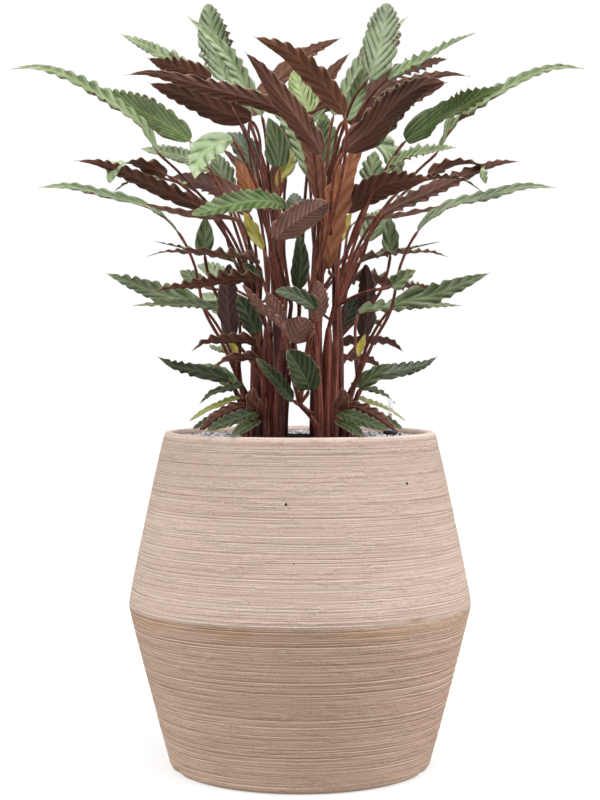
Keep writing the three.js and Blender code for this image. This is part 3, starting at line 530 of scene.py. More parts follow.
def leaf_under():
    """Wine red, with soft darker folds painted as shade and paler pinkish crests, partly rib colour and
    partly painted highlight, faint slanting veins and a soft down that catches the light.
    """
    f = Finish("leaf_under", Specular_IOR_Level=0.4, Sheen_Weight=0.1, Sheen_Roughness=0.45,
               Sheen_Tint=rgba(214, 170, 150))
    away, rim, tint, mottle, fold, fine = leaf_basis(f, 50, 1.6, 6)
    only_light = f.span(f.node("RGBToBW", {0: tint}), 0.12, 0.17, 0.0, 0.3)
    # Painted shade in the folds' hollows; the crests paler and pinkish, partly the ribs' colour and partly
    # painted highlight
    colour = f.layers(tint,
                      (mottle, 0.3, 0.7, 0.5, f.times(tint, 204, 184, 180)),
                      (fold, -0.1, -1.1, 0.45, f.times(tint, 130, 106, 102)),
                      (fold, 0.5, 1.2, 0.26, f.mix(0.5, tint, rgba(196, 132, 108))))
    # Painted highlight: the crests of the lighter leaves turn pale pink
    colour = f.mix(f.math("MULTIPLY", only_light, f.span(fold, 0.75, 1.0)), colour, rgba(208, 164, 146))
    colour = f.layers(colour,
                      (fine, 0.3, 1.0, 0.12, (176, 128, 108)),
                      (fine, -0.3, -1.0, 0.2, f.times(tint, 140, 120, 116)),
                      (away, 1.0, 0.4, 0.18, (160, 100, 78)),
                      (rim, 0.8, 0.2, 0.5, (180, 146, 116)))
    return f.wear(colour, mottle, (0.4, 0.55), f.total((fine, 0.6), (f.noise(400, 2), 0.6)), 0.35, 0.0005)


def stalk_skin():
    """Red-brown skin, streaked lengthwise, with bright streaks and paler ridges painted as highlights, and
    nearly black in its seams, where the tint brings painted shade.
    """
    f = Finish("stalk_skin", Specular_IOR_Level=0.28)
    tint = f.field("tint", "Color")
    streak = f.noise(620, 3, 0.6, (1, 1, 0.025))
    broad = f.noise(130, 3, stretch=(1, 1, 0.04))
    # Painted highlights: bright streaks and paler ridges on the streaked skin
    colour = f.layers(tint,
                      (streak, 0.53, 0.42, 0.6, f.times(tint, 130, 92, 84)),
                      (broad, 0.45, 0.62, 0.6, f.times(tint, 150, 108, 98)),
                      (streak, 0.58, 0.66, 0.45, (190, 116, 96)),
                      (f.field("vein"), 0.45, 0.9, 0.34, (184, 108, 90)),
                      (f.noise(300, 2), 0.7, 0.76, 0.35, (206, 160, 136)))
    return f.wear(colour, broad, (0.36, 0.48), streak, 0.3, 0.0006)


def bristle_skin():
    f = Finish("bristle", Specular_IOR_Level=0.3)
    colour = f.mix(f.noise(90, 2), rgba(150, 96, 82), rgba(206, 176, 156))
    return f.wear(colour, f.noise(200, 1), (0.5, 0.7), limits=(0.2, 0.8))


# Pits on the planter: x, y, z and radius
PITS = ((-16.0, -183.7, 341.1, 2.0), (-6.8, -198.4, 274.2, 1.5), (124.7, -130.0, 361.1, 2.1),
        (-104.7, -175.9, 245.0, 1.2), (-56.3, -176.9, 334.8, 1.1), (-39.0, -182.9, 328.4, 1.3),
        (-55.9, -192.7, 264.3, 1.0), (-146.7, -135.1, 270.0, 1.2))


def stone_pits(f):
    """1 in the named pits and rather less in rare small ones, and 0 outside them."""
    cells = {"Vector": f.place((1, 1, 1.5)), "Scale": 60}
    rare = f.span(f.node("TexVoronoi", cells, "Color"), 0.86, 0.9)
    pits = f.math("MULTIPLY", f.span(f.node("TexVoronoi", cells, "Distance"), 0.04, 0.08, 0.7, 0.0), rare)
    for x, y, z, radius in PITS:
        centre = (x * MM, y * MM, z * MM)
        apart = f.node("VectorMath", {0: f.place(), 1: centre}, "Value", operation="DISTANCE")
        pits = f.math("MAXIMUM", pits, f.span(apart, radius * 0.9 * MM, radius * 1.35 * MM, 1.0, 0.0))
    return pits


def cast_stone():
    """Sandy cast stone with fine lines drawn round it, torn here and there, with a few pits and stains. The
    lines are painted darker where they sink and paler where they rise, and the pits nearly black: painted
    shade and highlight.
    """
    f = Finish("cast_stone", Specular_IOR_Level=0.2)
    groove = f.field("vein")
    lines = f.noise(3.1, 2, 0.5, (0.3, 0.3, 150))
    thin = f.noise(3.0, 2, 0.55, (0.4, 0.4, 330))
    threads = f.noise(20, 3, 0.6, (1, 1, 46))
    grain = f.noise(560, 3, 0.7)
    sand = f.noise(170, 4, 0.7, (1, 1, 2.6))
    patch = f.span(f.noise(22, 3, stretch=(1, 1, 3)), 0.48, 0.64)
    # Painted shade and highlight: the lines, thin lines and threads darker where their relief sinks and paler
    # where it rises
    colour = f.layers(rgba(206, 183, 168),
                      (f.noise(7), 0.35, 0.65, 1.0, (200, 177, 161)),
                      (lines, 0.55, 0.68, 0.3, (216, 198, 184)),
                      (lines, 0.45, 0.34, 0.35, (168, 142, 126)),
                      (thin, 0.55, 0.66, 0.6, (224, 207, 194)),
                      (thin, 0.46, 0.36, 0.6, (156, 128, 112)),
                      (threads, 0.42, 0.34, 0.3, (158, 130, 114)))
    for start, full, tone in ((0.56, 0.66, (228, 212, 198)), (0.42, 0.34, (146, 118, 102))):
        colour = f.mix(f.math("MULTIPLY", f.span(sand, start, full, 0.0, 0.5), patch), colour, rgba(*tone))
    # Over the grain, painted shade in the cut lines and painted highlight on the burrs below them
    colour = f.layers(colour,
                      (grain, 0.56, 0.7, 0.65, (144, 118, 102)),
                      (grain, 0.43, 0.31, 0.5, (232, 216, 204)),
                      (groove, 0.1, 0.7, 0.55, (138, 110, 94)),
                      (groove, -0.08, -0.45, 0.6, (232, 217, 205)))
    # The tint brings the planter's painted shade and painted light
    colour = f.mix(1.0, colour, f.field("tint", "Color"), "MULTIPLY")
    colour = f.mix(f.field("rim"), colour, rgba(134, 104, 52))
    pits = stone_pits(f)
    # Painted shade: the pits nearly black
    colour = f.mix(f.math("MULTIPLY", pits, 0.95), colour, rgba(52, 38, 34))
    torn = f.math("MULTIPLY", sand, patch)
    height = f.total((grain, 0.25), (lines, 0.8), (thin, 1.0), (threads, 0.6), (torn, 1.6), (pits, -1.0))
    return f.wear(colour, grain, (0.82, 0.95), height, 0.75, 0.0012)


def soil_crumb():
    f = Finish("soil_crumb", Specular_IOR_Level=0.3)
    crumb = f.noise(260, 6, 0.7)
    colour = f.layers(rgba(14, 11, 10),
                      (crumb, 0.35, 0.65, 1.0, (52, 38, 30)),
                      (f.noise(700, 2), 0.66, 0.72, 0.8, (120, 96, 76)))
    return f.wear(colour, crumb, (0.8, 0.95), crumb, 0.9, 0.003)


def chip_stone():
    f = Finish("chip_stone", Specular_IOR_Level=0.4)
    tint = f.field("tint", "Color")
    speck = f.noise(500, 5, 0.65)
    colour = f.layers(tint, (speck, 0.4, 0.65, 0.5, f.times(tint, 176, 180, 190)))
    return f.wear(colour, speck, (0.55, 0.8), speck, 0.4, 0.0006)


def plastic(name, first, second, rough_range, top_from=None, rest=None, **sockets):
    """Slightly uneven plastic between two tones. With top_from, only what is above that height has them."""
    f = Finish(name, **sockets)
    haze = f.noise(160, 3)
    colour = f.mix(haze, rgba(*first), rgba(*second))
    if top_from is not None:
        height = f.node("SeparateXYZ", {0: f.place()}, "Z")
        colour = f.mix(f.span(height, (top_from - 0.2) * MM, (top_from + 0.2) * MM), rgba(*rest), colour)
    return f.wear(colour, haze, rough_range, haze, 0.1, 0.0003)


UPPER, UNDER, STALK, BRISTLE = range(4)
plant_materials = [leaf_upper(), leaf_under(), stalk_skin(), bristle_skin()]


# Curves of the plant

def seen(place):
    """Place in the model of a point seen at (across, up), a given depth behind the axis plane."""
    across, up, depth = place
    scale = (EYE_DISTANCE + depth) / EYE_DISTANCE
    return np.array([across * scale, depth, EYE_HEIGHT + (up - EYE_HEIGHT) * scale])


def curve_points(marks, shares):
    """Points of a smooth curve through the marks, at shares of its parameter from 0 to 1."""
    marks = np.asarray(marks, float)
    spans = len(marks) - 1
    marks = np.concatenate([[2 * marks[0] - marks[1]], marks, [2 * marks[-1] - marks[-2]]])
    position = np.asarray(shares) * spans
    step = np.minimum(np.floor(position).astype(int), spans - 1)
    t = (position - step)[:, None]
    p0, p1, p2, p3 = (marks[step + k] for k in range(4))

    def gap(a, b):
        return np.sqrt(np.linalg.norm(b - a, axis=1))[:, None]

    d0, d1, d2 = gap(p0, p1), gap(p1, p2), gap(p2, p3)
    m1 = ((p1 - p0) / d0 - (p2 - p0) / (d0 + d1) + (p2 - p1) / d1) * d1
    m2 = ((p2 - p1) / d1 - (p3 - p1) / (d1 + d2) + (p3 - p2) / d2) * d1
    return p1 + m1 * t + (3 * (p2 - p1) - 2 * m1 - m2) * t ** 2 + (2 * (p1 - p2) + m1 + m2) * t ** 3


def walk(samples, step, fewest):
    """Points about a step apart on a fine line, their tangents and shares of the line, and its length."""
    lengths = np.concatenate([[0], np.cumsum(np.linalg.norm(np.diff(samples, axis=0), axis=1))])
    steps = max(fewest, int(lengths[-1] / step))
    goals = np.linspace(0, lengths[-1], steps + 1)
    points = np.stack([np.interp(goals, lengths, samples[:, axis]) for axis in range(3)], -1)
    return points, unit(np.gradient(points, axis=0)), np.linspace(0, 1, steps + 1), lengths[-1]


def upper_normal(tangents, degrees):
    angle = np.radians(np.broadcast_to(degrees, len(tangents)))[:, None]
    wish = np.cos(angle) * UP + np.sin(angle) * TO_VIEWER
    return unit(wish - tangents * np.sum(wish * tangents, axis=1, keepdims=True))


def angle_from(start, turn):
    """The turn from a direction, within half a turn either way."""
    return (turn - start + math.pi) % FULL_TURN - math.pi


# Leaves. Pitch is the distance along the midrib between two pleats; a small one means a small, blunt leaf.
# Each part is built in rows: how far apart in mm, how many at least, and how many points in each
BLADE_ROW, BLADE_ROWS = 1.7, 18
COLUMNS = np.array([0, 0.05, 0.13, 0.27, 0.43, 0.59, 0.74, 0.88, 1.0])
COLUMNS = np.concatenate([-COLUMNS[:0:-1], COLUMNS])
BLADE_THICKNESS = 0.62
RIB_HEIGHT, RIB_WIDTH = 0.8, 0.9
BLADE_FOLD = 0.24
BLADE_SPREAD = 0.45
BLUNT, POINTED = 0.6, 0.82
BLUNT_PITCH, DRAWN_OUT_PITCH = 14, 26
DRIP_TIP = 0.965
# How far a pleat leans to the tip and how deep it is, in shares of the half width, by pitch
LEAN_PITCH, PLEAT_LEAN = (9, 20, 23, 26), (1.2, 2.3, 5.0, 2.0)
PLEAT_PITCH, PLEAT_SHARE = (9, 19, 23, 26), (0.11, 0.32, 0.2, 0.12)
PLEAT_MOST = 3.7
# A pleat's lean at the midrib and how it grows to the edge, at the two pitches
SWEEP_PITCH, SWEEP_START, SWEEP_GROWTH = (8, 14), (0.5, 1.0), (0.95, -0.12)
BROWN = linear(TONES["straw"]) * 0.6

PETIOLE_ROW, PETIOLE_ROWS, PETIOLE_COLUMNS = 6.2, 8, 10
PETIOLE_RADIUS, PETIOLE_FOOT_RADIUS = 1.7, 2.6
JOINT_PLACE = 9
JOINT_TONE = (150, 100, 74)

SHEATH_ROW, SHEATH_ROWS, SHEATH_COLUMNS = 7, 12, 33
SHEATH_FLUTES, SHEATH_SEAMS = ((0.018, 4), (0.014, 11)), 4
SHEATH_TAPER = 55
COLLAR_HEIGHT = SOIL_MOUND_TOP + 4
KNEE_SHARE = 0.4
FORK_SHARE = 0.7
FORK_SINK = 5

# Bristles on each part: how many, and their length
BRISTLE_RADIUS = 0.075
SHEATH_BRISTLES, PETIOLE_BRISTLES, BLADE_BRISTLES = (160, 1.6), (90, 1.3), (60, 0.8)


def wander(along, w, chance):
    """A smooth random walk from -1 to 1 along a blade, one on each side of the midrib."""
    table = chance.uniform(-1, 1, (2, 400))
    table[:, :3] = table[0, :3]
    step = np.floor(along).astype(int)
    part = along - step
    part = part * part * (3 - 2 * part)
    lines = [row[step] * (1 - part) + row[step + 1] * part for row in table]
    blend = np.clip(w / 0.3, -1, 1) * 0.5 + 0.5
    return lines[0] * (1 - blend) + lines[1] * blend


def half_width(width, share, fall):
    fullest = BLADE_SPREAD / (BLADE_SPREAD + fall)
    peak = fullest ** BLADE_SPREAD * (1 - fullest) ** fall
    return PETIOLE_RADIUS * (1 - share) + width / 2 * share ** BLADE_SPREAD * (1 - share) ** fall / peak


def blade_outline(width, share, pitch):
    """Half widths of a blade: blunt with fine pleats, else drawn out to a thread of a tip."""
    if pitch < BLUNT_PITCH:
        return half_width(width, share, BLUNT)
    thread = 0.7 * clamp((share - 0.9) / 0.06) * (1 - share) ** 0.4
    half = half_width(width, np.minimum(share / DRIP_TIP, 1), POINTED) + thread
    return half * np.interp(share, (0, 0.5), (0.45, 1)) if pitch >= DRAWN_OUT_PITCH else half


def blade_tints(tones, shade, cloudy, along, share, reach, chance):
    """Colours of a blade's two sides: cloudy, and brown at the tip and in places along the edge."""
    nicked = chance.random(share.shape) > 0.8
    old = clamp((share - 0.95) / 0.05) ** 2 + 0.35 * reach ** 12 * nicked
    tints = []
    for tone in tones:
        tint = linear(TONES[tone]) * shade * (0.94 + 0.12 * chance.random((len(share), 1, 1)))
        tint = tint * (1 + 0.06 * np.sin(along / 19) + cloudy)[:, :, None]
        tints.append(tint + (BROWN - tint) * clamp(old)[:, :, None] * 0.8)
    return tints


def sheet_faces(count, columns):
    """Faces of two grids of points, the second below the first, that meet in one last point.
    The first two blocks are the upper side."""
    block = count * columns
    point = 2 * block
    number = np.arange(block).reshape(count, columns)
    cells = grid(count, columns, closed=False)
    end = number[-1]

    def strip(line):
        return np.stack([line[:-1], line[:-1] + block, line[1:] + block, line[1:]], -1)

    last = np.full(columns - 1, point)
    left, right, start = strip(number[:, 0])[:, [1, 0, 3, 2]], strip(number[:, -1]), strip(number[0])
    tip_top = np.stack([end[:-1], end[1:], last], -1)
    tip_low = np.stack([last, end[1:] + block, end[:-1] + block], -1)
    tip_sides = [[end[-1], end[-1] + block, point], [end[0] + block, end[0], point]]
    return [cells, tip_top, cells[:, ::-1] + block, left, right, start, tip_low, np.array(tip_sides)]


def blade(pile, samples, width, face, face_tip, pitch, tones, chance):
    """One pleated blade along a line: a closed sheet with a rib under it and waving edges.
    Returns the points of its underside and the ways out from them."""
    points, tangents, share, length = walk(samples, BLADE_ROW, BLADE_ROWS)
    tip, points, tangents, share = points[-1], points[:-1], tangents[:-1], share[:-1]
    normals = upper_normal(tangents, face + (face_tip - face) * share)
    sides = np.cross(tangents, normals)
    half, share = blade_outline(width, share, pitch)[:, None], share[:, None]
    w = COLUMNS[None, :]
    reach = np.abs(w)
    away, along = reach * half, share * length

    def stray(step):
        return wander(along / step, w, chance)

    # The number of pleats up to each point, half a pleat apart on the two sides
    drift = 0.5 * stray(3.1 * pitch) + 0.16 * stray(1.1 * pitch)
    lean = np.interp(pitch, LEAN_PITCH, PLEAT_LEAN)
    sweep = np.interp(pitch, SWEEP_PITCH, SWEEP_START) + reach * np.interp(pitch, SWEEP_PITCH, SWEEP_GROWTH)
    vein = along / pitch - lean * away * sweep / pitch + drift + np.where(w < 0, 0.5, 0.0)
    vein = vein + chance.uniform(0, 1)

    # Heights above the flat blade, and the outline's scallops
    swell = np.clip(0.95 + 0.8 * stray(1.4 * pitch), 0.25, 1.6)
    ends = clamp(share / 0.14) * np.clip((1 - share) / 0.1, 0.15, 1)
    most = np.minimum(np.interp(pitch, PLEAT_PITCH, PLEAT_SHARE) * half, PLEAT_MOST)
    inner, grow = (0.1, np.interp(pitch, (9, 19), (2.5, 1.5))) if face > 0 else (0.04, 2.3)
    depth = most * (inner * clamp(reach / 0.12) + (1 - inner) * reach ** grow)
    turn = FULL_TURN * vein
    crease = 2 * np.abs(np.sin(turn / 2)) - 1.27 if face > 0 else 1.27 - 2 * np.abs(np.cos(turn / 2))
    pleat = depth * ends * swell * (0.45 * crease - 0.6 * np.cos(turn) + 0.12 * np.sin(2 * turn))
    ruffle = np.minimum(0.16 * half, 2.4) * reach ** 2.5 * ends * stray(1.7 * pitch)
    scallop = 1 + 0.1 * reach ** 3 * ends * swell * np.sin(turn - 0.5)
    for jag in (2.2, 3.9):
        scallop = scallop + 0.012 * reach ** 6 * stray(jag)
    fold = BLADE_FOLD * away * (1 + 0.5 * stray(55))

    # The two sides of the sheet
    sheet = (points[:, None, :] + sides[:, None, :] * (w * half * scallop)[:, :, None]
             + normals[:, None, :] * (fold + pleat + ruffle)[:, :, None])
    facing = unit(np.cross(np.gradient(sheet, axis=1), np.gradient(sheet, axis=0)))
    thick = BLADE_THICKNESS / 2 * (1 - 0.35 * reach ** 4)
    rib = RIB_HEIGHT * (1 - share) ** 0.6 * np.exp(-(away / RIB_WIDTH) ** 2)
    top = (sheet + facing * thick[:, :, None]).reshape(-1, 3)
    low = (sheet - facing * (thick + rib)[:, :, None]).reshape(-1, 3)
    fields = {name: np.concatenate([values.ravel(), values.ravel(), [0]])
              for name, values in (("vein", vein), ("away", away), ("rim", half - away))}
    shade, cloudy = chance.uniform(0.88, 1.12), 0.2 * stray(2.4 * pitch) + 0.1 * stray(0.9 * pitch)
    tints = blade_tints(tones, shade, cloudy, along, share, reach, chance)
    fields["tint"] = np.concatenate([*(tint.reshape(-1, 3) for tint in tints), [BROWN]])
    pile.add(np.concatenate([top, low, [tip]]), sheet_faces(*vein.shape), [UPPER] * 2 + [UNDER] * 6, **fields)
    return low, -facing.reshape(-1, 3)


def petiole(pile, samples, face, tone, chance):
    """A slender stalk along a line, thicker at its foot and in the joint just below the blade."""
    points, tangents, share, length = walk(samples, PETIOLE_ROW, PETIOLE_ROWS)
    normals = upper_normal(tangents, face)
    sides = np.cross(tangents, normals)
    share = share[:, None]
    left = (1 - share) * length
    radius = PETIOLE_FOOT_RADIUS + (PETIOLE_RADIUS - PETIOLE_FOOT_RADIUS) * share
    radius = radius + 1.6 * np.exp(-share * length / 16) + 0.4 * np.exp(-((left - JOINT_PLACE) / 6) ** 2)
    turn = round_turn(PETIOLE_COLUMNS)
    channel = 1 - 0.16 * clamp(np.cos(turn - math.pi / 2)) ** 3
    radii = np.maximum(radius * channel * np.clip(left / 3 + 0.45, 0.45, 1), 0.5)
    joint = 0.5 * clamp(1 - np.abs(left - JOINT_PLACE) / JOINT_PLACE)[:, :, None]
    colour = linear(tone) * (1 - joint) + linear(JOINT_TONE) * joint
    ridge = 0.25 + 0.25 * np.cos(2 * turn + chance.uniform(0, 6))
    return tube(pile, points, sides, normals, radii, STALK, vein=ridge, tint=colour)


def sheath(pile, collar, knee, top, radius, tone, chance):
    """A fluted stem of overlapping leaf sheaths that stands upright in the soil and leans to its fork."""
    t = np.linspace(0, 1, 80)[:, None]
    rise = collar * (1 - t) ** 2 + 2 * knee * t * (1 - t) + top * t ** 2
    line = np.concatenate([[collar - (0, 0, 18)], rise])
    points, tangents, share, length = walk(line, SHEATH_ROW, SHEATH_ROWS)
    side = unit(np.cross(tangents, -TO_VIEWER))
    other = np.cross(tangents, side)
    share = share[:, None]
    turn = round_turn(SHEATH_COLUMNS)
    twist = turn + 0.35 * np.sin(share * 3 + chance.uniform(0, 6))
    flutes = sum(deep * np.cos(count * twist + chance.uniform(0, 6)) for deep, count in SHEATH_FLUTES)
    seams = np.zeros_like(twist)
    for place in chance.uniform(0, FULL_TURN, SHEATH_SEAMS):
        seams = seams + np.exp(-(angle_from(place, twist) / 0.11) ** 2)
    taper = 1 - (1 - FORK_SHARE) * share ** 2
    left = (1 - share) * length
    close = np.clip(left / 3, 0.3, 1) * (0.4 + 0.6 * clamp(left / SHEATH_TAPER) ** 0.7)
    radii = radius * taper * (1.02 + flutes - 0.09 * seams) * close
    ridge = clamp(0.45 + 9 * flutes - 0.9 * seams)
    # Painted shade: the seams between the sheaths darkened nearly to black
    colour = linear(tone) * (1 - 0.78 * clamp(seams))[:, :, None]
    # Painted shade: the stem darker towards its foot, to half at the bottom
    colour = colour * (0.5 + 0.5 * clamp(share * length / 50))[:, :, None]
    return tube(pile, points, side, other, radii, STALK, vein=ridge, tint=colour)


def bristles(pile, surface, outward, number, length, chance):
    """Short fine hairs that stand on a surface: slender closed spikes."""
    chosen = chance.integers(0, len(surface), number)
    root, way = surface[chosen], unit(outward[chosen] + chance.normal(0, 0.35, (number, 3)))
    root = root + chance.normal(0, 0.5, (number, 3)) * (1 - np.abs(way))
    first = unit(np.cross(way, np.array([0.3, 0.5, 0.8])))
    second = np.cross(way, first)
    corners = [root - way * 0.4 + BRISTLE_RADIUS * (math.cos(a) * first + math.sin(a) * second)
               for a in (0, 2.1, 4.2)]
    tips = root + way * (length * chance.uniform(0.6, 1.1, (number, 1)))
    base = np.arange(number)[:, None] * 4
    faces = np.concatenate([base + corner for corner in ([0, 1, 3], [1, 2, 3], [2, 0, 3], [0, 2, 1])])
    pile.add(np.stack([*corners, tips], 1), [faces], [BRISTLE])


def shoot_piece(name, root, fork, radius, leaves, seed):
    chance = np.random.default_rng(seed)
    pile = Pile()
    top = seen(fork)
    collar = np.array([*root, COLLAR_HEIGHT], float)
    knee = collar + (0, 0, (top[2] - collar[2]) * KNEE_SHARE)
    stem_tone = STEM_TONES[chance.integers(len(STEM_TONES))]
    bristles(pile, *sheath(pile, collar, knee, top, radius, stem_tone, chance), *SHEATH_BRISTLES, chance)
    reach = np.linalg.norm(top - knee)
    direction = (top - knee) / reach
    start = top - direction * FORK_SINK
    foot = start - direction * min(SHEATH_TAPER, 0.5 * reach)
    for stalk_marks, blade_marks, width, face, face_tip, pitch, *tones in leaves:
        marks = [start, *map(seen, stalk_marks), *map(seen, blade_marks)]
        join = (1 + len(stalk_marks)) / (len(marks) - 1)
        line = np.concatenate([[foot], curve_points(marks, np.linspace(0, join, 240))])
        tone = PETIOLE_TONES[chance.integers(len(PETIOLE_TONES))]
        bristles(pile, *petiole(pile, line, face, tone, chance), *PETIOLE_BRISTLES, chance)
        line = curve_points(marks, np.linspace(join, 1, 400))
        surface = blade(pile, line, width, face, face_tip, pitch, tones, chance)
        bristles(pile, *surface, *BLADE_BRISTLES, chance)
    pile.piece("leaves_" + name, plant_materials, "shoot_" + name)


def twin(point, kind):
    """The place of a point on the other side: turned half round the plant's upright axis, or mirrored."""
    across, *rest = point
    rest[-1] = rest[-1] if kind == "mirrored" else -rest[-1]
    return (2 * PLANT_AXIS - across, *rest)


# The planter, the soil, the stones and the water gauge

UPPER_SWELL, LOWER_SWELL = 1.8, 1.2
RIM_TRIM, BASE_TRIM = 1.7, 0.9
WAIST_BLEND = 0.6
RIM_ROUND, BASE_ROUND = 5.5, 9.0
WALL_STEP, WALL_COLUMNS = 0.98, 200
# How deep the combed lines are, at four heights
COMB_HEIGHTS, COMB_DEPTHS = (WAIST_HEIGHT - 10, WAIST_HEIGHT + 10, 330, 400), (1.5, 1.15, 1.0, 0.6)
# Colour factor below the waist: painted shade of the lower cone, which faces down
LOWER_PAINTED_SHADE = (252, 240, 226)
CLEARANCE = 0.6     # between the planter and what fills it
# Patches on the planter: direction in degrees, height, half width, half height, and depth in mm or strength
DENTS = ((203, 4, 12, 4, 2.4), (337, 4, 10, 4, 2.2))
STAINS = ((240, 199, 22, 3.0, 0.55), (252, 200, 12, 2.5, 0.4), (311, 205, 20, 3, 0.5),
          (235, 40, 26, 22, 0.22), (216, 20, 14, 30, 0.15), (20, 198, 30, 4, 0.3))

SOIL_RINGS, SOIL_COLUMNS = 46, 116
CRUMBS, CRUMBS_RADIUS = 900, 84
CHIPS, CHIPS_COLUMNS = 2900, 120
CHIP_TONES = ((244, 244, 242), (220, 224, 228), (164, 178, 192),
              (104, 118, 138), (54, 54, 58), (222, 208, 190))
CHIP_ODDS = (0.42, 0.22, 0.1, 0.07, 0.1, 0.09)
CAP_COLUMNS, CAP_GROOVES, CAP_GROOVE_DEPTH = 56, 28, 0.25
TUBE_COLUMNS = 40


def swell(share):
    """How far a cone's side bows out between its two ends, as a share of the most."""
    return (4 * clamp(share) * clamp(1 - share)) ** 0.6


def outer_radius(height):
    below, above = height / WAIST_HEIGHT, (height - WAIST_HEIGHT) / (PLANTER_HEIGHT - WAIST_HEIGHT)
    low = BASE_RADIUS - BASE_TRIM + (WAIST_RADIUS - BASE_RADIUS) * below + LOWER_SWELL * swell(below)
    high = WAIST_RADIUS + (RIM_RADIUS - RIM_TRIM - WAIST_RADIUS) * above + UPPER_SWELL * swell(above)
    return -WAIST_BLEND * np.logaddexp(-low / WAIST_BLEND, -high / WAIST_BLEND)


def combed_lines(turn, height, chance):
    """Relief of the lines drawn round the planter: each is cut unevenly, with a burr below it."""
    level = height + 1.1 * np.sin(turn + 0.8) + 0.5 * smooth_noise(turn, height, 9, 60, 3)
    relief, place = np.zeros_like(height), 4.0
    while place < PLANTER_HEIGHT:
        depth = chance.choice([0.24, 0.36, 0.52, 0.7], p=[0.34, 0.32, 0.22, 0.12])
        depth = depth * np.interp(place, COMB_HEIGHTS, COMB_DEPTHS)
        spread = chance.uniform(0.5, 0.7)
        reach = clamp(0.65 + 0.5 * np.sin(chance.integers(1, 4) * turn + chance.uniform(0, 6))
                      + 0.3 * np.sin(chance.integers(4, 8) * turn + chance.uniform(0, 6)))
        apart = (level - place) / spread
        relief = relief - depth * reach * (np.exp(-apart ** 2) - 0.7 * np.exp(-(apart + 2.1) ** 2))
        place += chance.uniform(1.8, 5.2)
    return relief


def patches(rows, turn, height, radius, power):
    """The sum of patches on the planter; a power of 2 makes them soft, and a higher one firm."""
    whole = np.zeros_like(height)
    for angle, up, wide, tall, strength in rows:
        apart = angle_from(math.radians(angle), turn) * radius
        whole = whole + strength * np.exp(-(apart / wide) ** power - ((height - up) / tall) ** power)
    return whole


def planter_piece():
    corner = np.linspace(0, math.pi / 2, 7)
    brink = PLANTER_HEIGHT - RIM_ROUND
    shoulder = outer_radius(brink)
    inner = shoulder - WALL + RIM_ROUND
    under = [(60, 0), (120, 0)]
    base = [(outer_radius(BASE_ROUND) - BASE_ROUND * (1 - math.sin(a)), BASE_ROUND * (1 - math.cos(a)))
            for a in corner[:-1]]
    wall = [(outer_radius(z), z) for z in np.arange(BASE_ROUND, brink, WALL_STEP)]
    rim = [(shoulder - RIM_ROUND * (1 - math.cos(a)), brink + RIM_ROUND * math.sin(a)) for a in corner[1:]]
    rim += [(inner - RIM_ROUND * math.sin(a), brink + RIM_ROUND * math.cos(a)) for a in corner]
    levels = (400, 380, 340, 300, 250, WAIST_HEIGHT, 150, 90, 40, FLOOR)
    inside = [(outer_radius(z) - WALL, z) for z in levels]
    profile = [*under, *base, *wall, *rim, *inside, (80, FLOOR)]
    turn, radius, height = ring_grid(profile, WALL_COLUMNS)
    number, first, last = np.arange(len(profile))[:, None], len(under), len(under + base + wall)
    outside = (number >= first) & (number < last)
    lining = (number >= last + len(rim) - 3)[:, :, None]

    weight = outside * clamp((PLANTER_HEIGHT - 3 - height) / 6) * clamp(height / 5)
    lines = combed_lines(turn, height, np.random.default_rng(7))
    relief = lines + 0.12 * smooth_noise(turn, height, 90, 1.2, 11)
    relief = relief + 0.2 * smooth_noise(turn, height, 14, 18, 12)
    radius = radius - patches(DENTS, turn, height, BASE_RADIUS, 4) * outside + relief * weight

    stain = patches(STAINS, turn, height, WAIST_RADIUS, 2)
    stain = clamp(stain * (0.6 + 0.8 * smooth_noise(turn, height, 70, 2.2, 21))) * outside
    # Painted shade: the lower cone is darker, most of all just under the waist
    lower = clamp((WAIST_HEIGHT + 0.6 - height) / 1.4) * outside
    uneven = np.exp(-(WAIST_HEIGHT - height) / 12) * (1 + smooth_noise(turn, height, 60, 3, 17))
    shade = 1 - (lower * (0.75 + 0.55 * uneven))[:, :, None] * (1 - linear(LOWER_PAINTED_SHADE))
    # Painted shade: the upper wall darkens a little towards the top
    shade = shade * (1 - 0.1 * clamp((height - 300) / 80) * outside)[:, :, None]
    # Painted light: the rounded rim is paler and greyer, and the inside wall much paler
    brim = clamp((height - PLANTER_HEIGHT + 5) / 4)[:, :, None]
    shade = shade * (1 + brim * (0.16, 0.24, 0.34))
    shade = np.where(lining, 1.45, shade)
    pile = Pile()
    lathe(pile, turn, radius, height, vein=-lines * weight * 1.7, rim=stain, tint=shade)
    pile.piece("planter_body", [cast_stone()], "planter")


def ball():
    """Points and faces of a coarse ball of 20 triangles."""
    g = (1 + math.sqrt(5)) / 2
    points = np.array([(-1, g, 0), (1, g, 0), (-1, -g, 0), (1, -g, 0), (0, -1, g), (0, 1, g), (0, -1, -g),
                       (0, 1, -g), (g, 0, -1), (g, 0, 1), (-g, 0, -1), (-g, 0, 1)]) / math.sqrt(1 + g * g)
    near = np.linalg.norm(points[:, None] - points[None], axis=2) < 1.1
    faces = []
    for i, j, k in itertools.combinations(range(len(points)), 3):
        if near[i, j] and near[j, k] and near[i, k]:
            out = np.dot(np.cross(points[j] - points[i], points[k] - points[i]), points[i]) > 0
            faces.append((i, j, k) if out else (i, k, j))
    return points, np.array(faces)


BALL_POINTS, BALL_FACES = ball()


def grain(pile, place, size, tint, chance):
    """One broken grain: a squashed, dented ball, turned at random."""
    turn = np.linalg.qr(chance.normal(size=(3, 3)))[0]
    if np.linalg.det(turn) < 0:
        turn[:, 0] *= -1
    shape = BALL_POINTS * chance.uniform(0.75, 1.15, (12, 1)) * chance.uniform(0.6, 1.0, 3)
    pile.add(shape @ turn.T * size + place, [BALL_FACES], [0], tint=tint)


